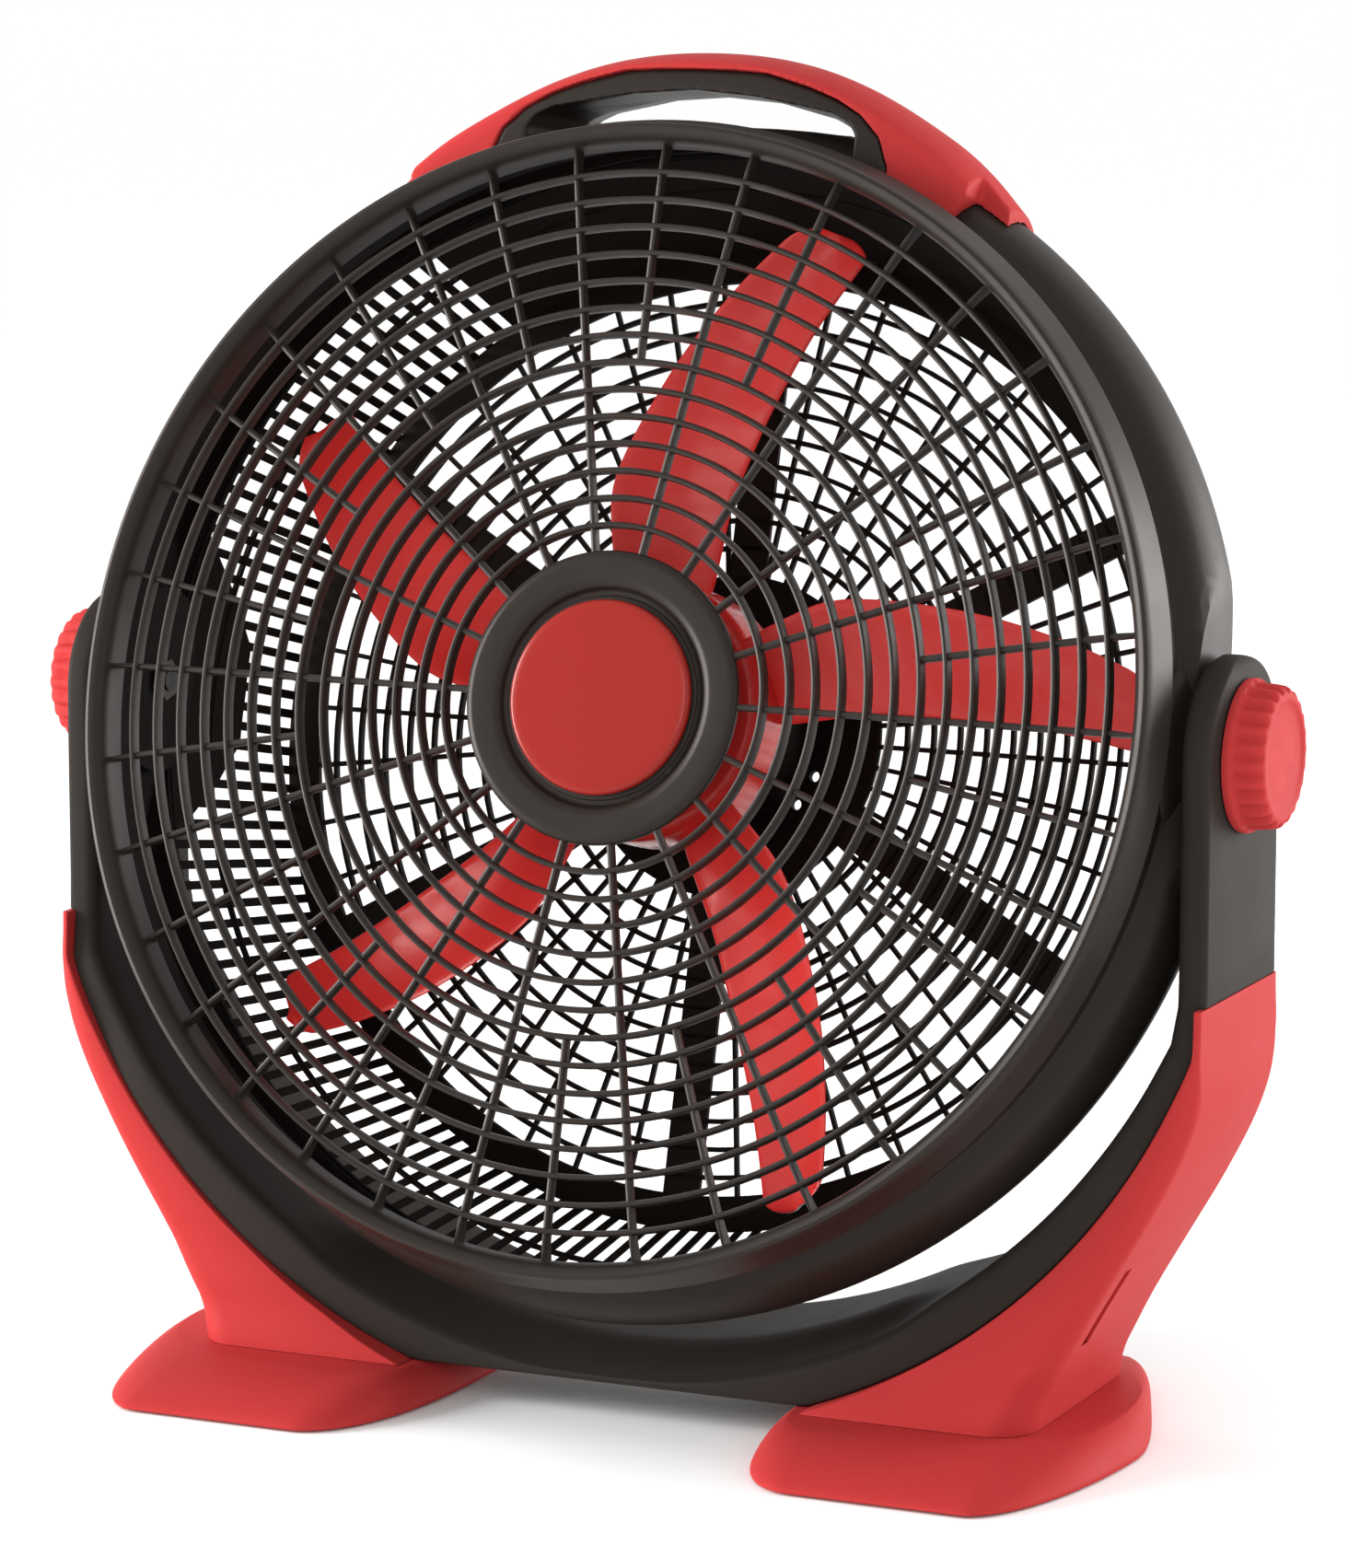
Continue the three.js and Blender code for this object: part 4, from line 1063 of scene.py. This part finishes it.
def speed_knob():
    """A round dial with a finger bar across it."""
    skin = Skin()
    skin.lathe(rounded([(0, -119), (12.8, -119), (14, -117.4), (14, -108), (13.2, -106.8), (0, -106.8)],
                       0.9, 3, False), 96, DIAL_PLACE)
    skin.lathe(drill(3, -107.5, -103.1), 32, DIAL_PLACE)
    grip = rounded([(-2.6, -4), (2.6, -4), (2.6, 22), (-2.6, 22)], 2.2, 4)
    middle = DIAL_PLACE[1]
    skin.loft([[(x * wide, y, middle + (z - middle) * long) for x, z in grip]
               for wide, y, long in ((1.2, 117.6, 1), (1, 121.3, 0.97), (0.7, 122, 0.93))])
    piece = skin.build("speed_dial_knob", HEAD, 34)
    finish_piece(piece, "speed_dial", RED, "shell_red", "speed_knob")


# ---- CAD pieces kept as they are ----

KEPT = {"pad_rubber": RUBBER, "steel": STEEL, "dark_steel": DARK_STEEL, "motor_alloy": ALLOY,
        "winding_copper": COPPER, "shell_black": BLACK, "shell_red": RED}


def dress_kept_nodes():
    """Gives every node that no piece stands in for the material of its slot."""
    for part in frame["record"]["subparts"]:
        if part["node"] in REPLACED:
            continue
        node = frame["nodes"][part["node"]]
        node.data.materials.clear()
        node.data.materials.append(KEPT[part["material_slot"]])


# ---- studio ----

CAMERA_AZIMUTH = math.radians(24.533)
CAMERA_ELEVATION = math.radians(9.504)
CAMERA_DISTANCE = 2.667
CAMERA_LENS = 136.3
AIM_RIGHT = 0.00816
AIM_DOWN = 0.0315
FLOOR_HALF = 30000


def studio():
    """The camera at the photograph's angle, a pale floor and soft lights."""
    back = Vector((math.sin(CAMERA_AZIMUTH) * math.cos(CAMERA_ELEVATION),
                   -math.cos(CAMERA_AZIMUTH) * math.cos(CAMERA_ELEVATION), math.sin(CAMERA_ELEVATION)))
    right = Vector((math.cos(CAMERA_AZIMUTH), math.sin(CAMERA_AZIMUTH), 0))
    up = back.cross(right)
    target = PIVOT + right * AIM_RIGHT - up * AIM_DOWN
    camera = bpy.data.objects.new("camera", bpy.data.cameras.new("camera"))
    camera.data.lens = CAMERA_LENS
    camera.data.sensor_width = 36
    camera.data.clip_start = 0.1
    camera.matrix_world = Matrix.Translation(target + back * CAMERA_DISTANCE) @ Matrix(
        (right, up, back)).transposed().to_4x4()
    bpy.context.scene.collection.objects.link(camera)
    bpy.context.scene.camera = camera

    corners = [(-FLOOR_HALF, -FLOOR_HALF, 0), (FLOOR_HALF, -FLOOR_HALF, 0),
               (FLOOR_HALF, FLOOR_HALF, 0), (-FLOOR_HALF, FLOOR_HALF, 0)]
    floor = Skin().add(corners, [(0, 1, 2, 3)]).build("floor", GROUND)
    material = bpy.data.materials.new("pale_floor")
    material.use_nodes = True
    nodes, links = material.node_tree.nodes, material.node_tree.links
    shader = nodes["Principled BSDF"]
    shader.inputs["Roughness"].default_value = 0.9
    mottle = nodes.new("ShaderNodeTexNoise")
    mottle.inputs["Scale"].default_value = 1.5
    blend = nodes.new("ShaderNodeMix")
    blend.data_type = "RGBA"
    blend.inputs["A"].default_value = (0.955, 0.955, 0.95, 1)
    blend.inputs["B"].default_value = (0.98, 0.98, 0.975, 1)
    links.new(mottle.outputs["Fac"], blend.inputs["Factor"])
    links.new(blend.outputs["Result"], shader.inputs["Base Color"])
    floor.data.materials.append(material)

    world = bpy.data.worlds.new("studio")
    world.use_nodes = True
    world.node_tree.nodes["Background"].inputs["Color"].default_value = (1, 1, 1, 1)
    world.node_tree.nodes["Background"].inputs["Strength"].default_value = 1.03
    bpy.context.scene.world = world

    def softbox(name, place, size, power):
        light = bpy.data.objects.new(name, bpy.data.lights.new(name, "AREA"))
        light.data.shape = "RECTANGLE"
        light.data.size, light.data.size_y = size
        light.data.energy = power
        light.location = place
        aim = PIVOT - light.location
        light.rotation_euler = aim.to_track_quat("-Z", "Y").to_euler()
        bpy.context.scene.collection.objects.link(light)

    softbox("right_back_softbox", Vector((2.0, 2.2, 0.5)), (1.4, 1.6), 85)
    softbox("right_softbox", Vector((2.6, -0.1, 0.9)), (1.0, 1.6), 6)
    softbox("left_softbox", Vector((-2.3, -1.0, 0.6)), (0.8, 1.6), 110)
    softbox("front_softbox", Vector((0.6, -3.4, 1.6)), (1.4, 1.4), 13)
    bpy.context.scene.view_settings.view_transform = "Standard"


studio()
for make in (front_grille, badge, drum, rear_guard, motor_shroud, fan_wheel, handle, yoke,
             motor_cover, speed_knob):
    make()
for side in (-1, 1):
    leg_cover(side)
    foot(side)
    knob(side)
dress_kept_nodes()
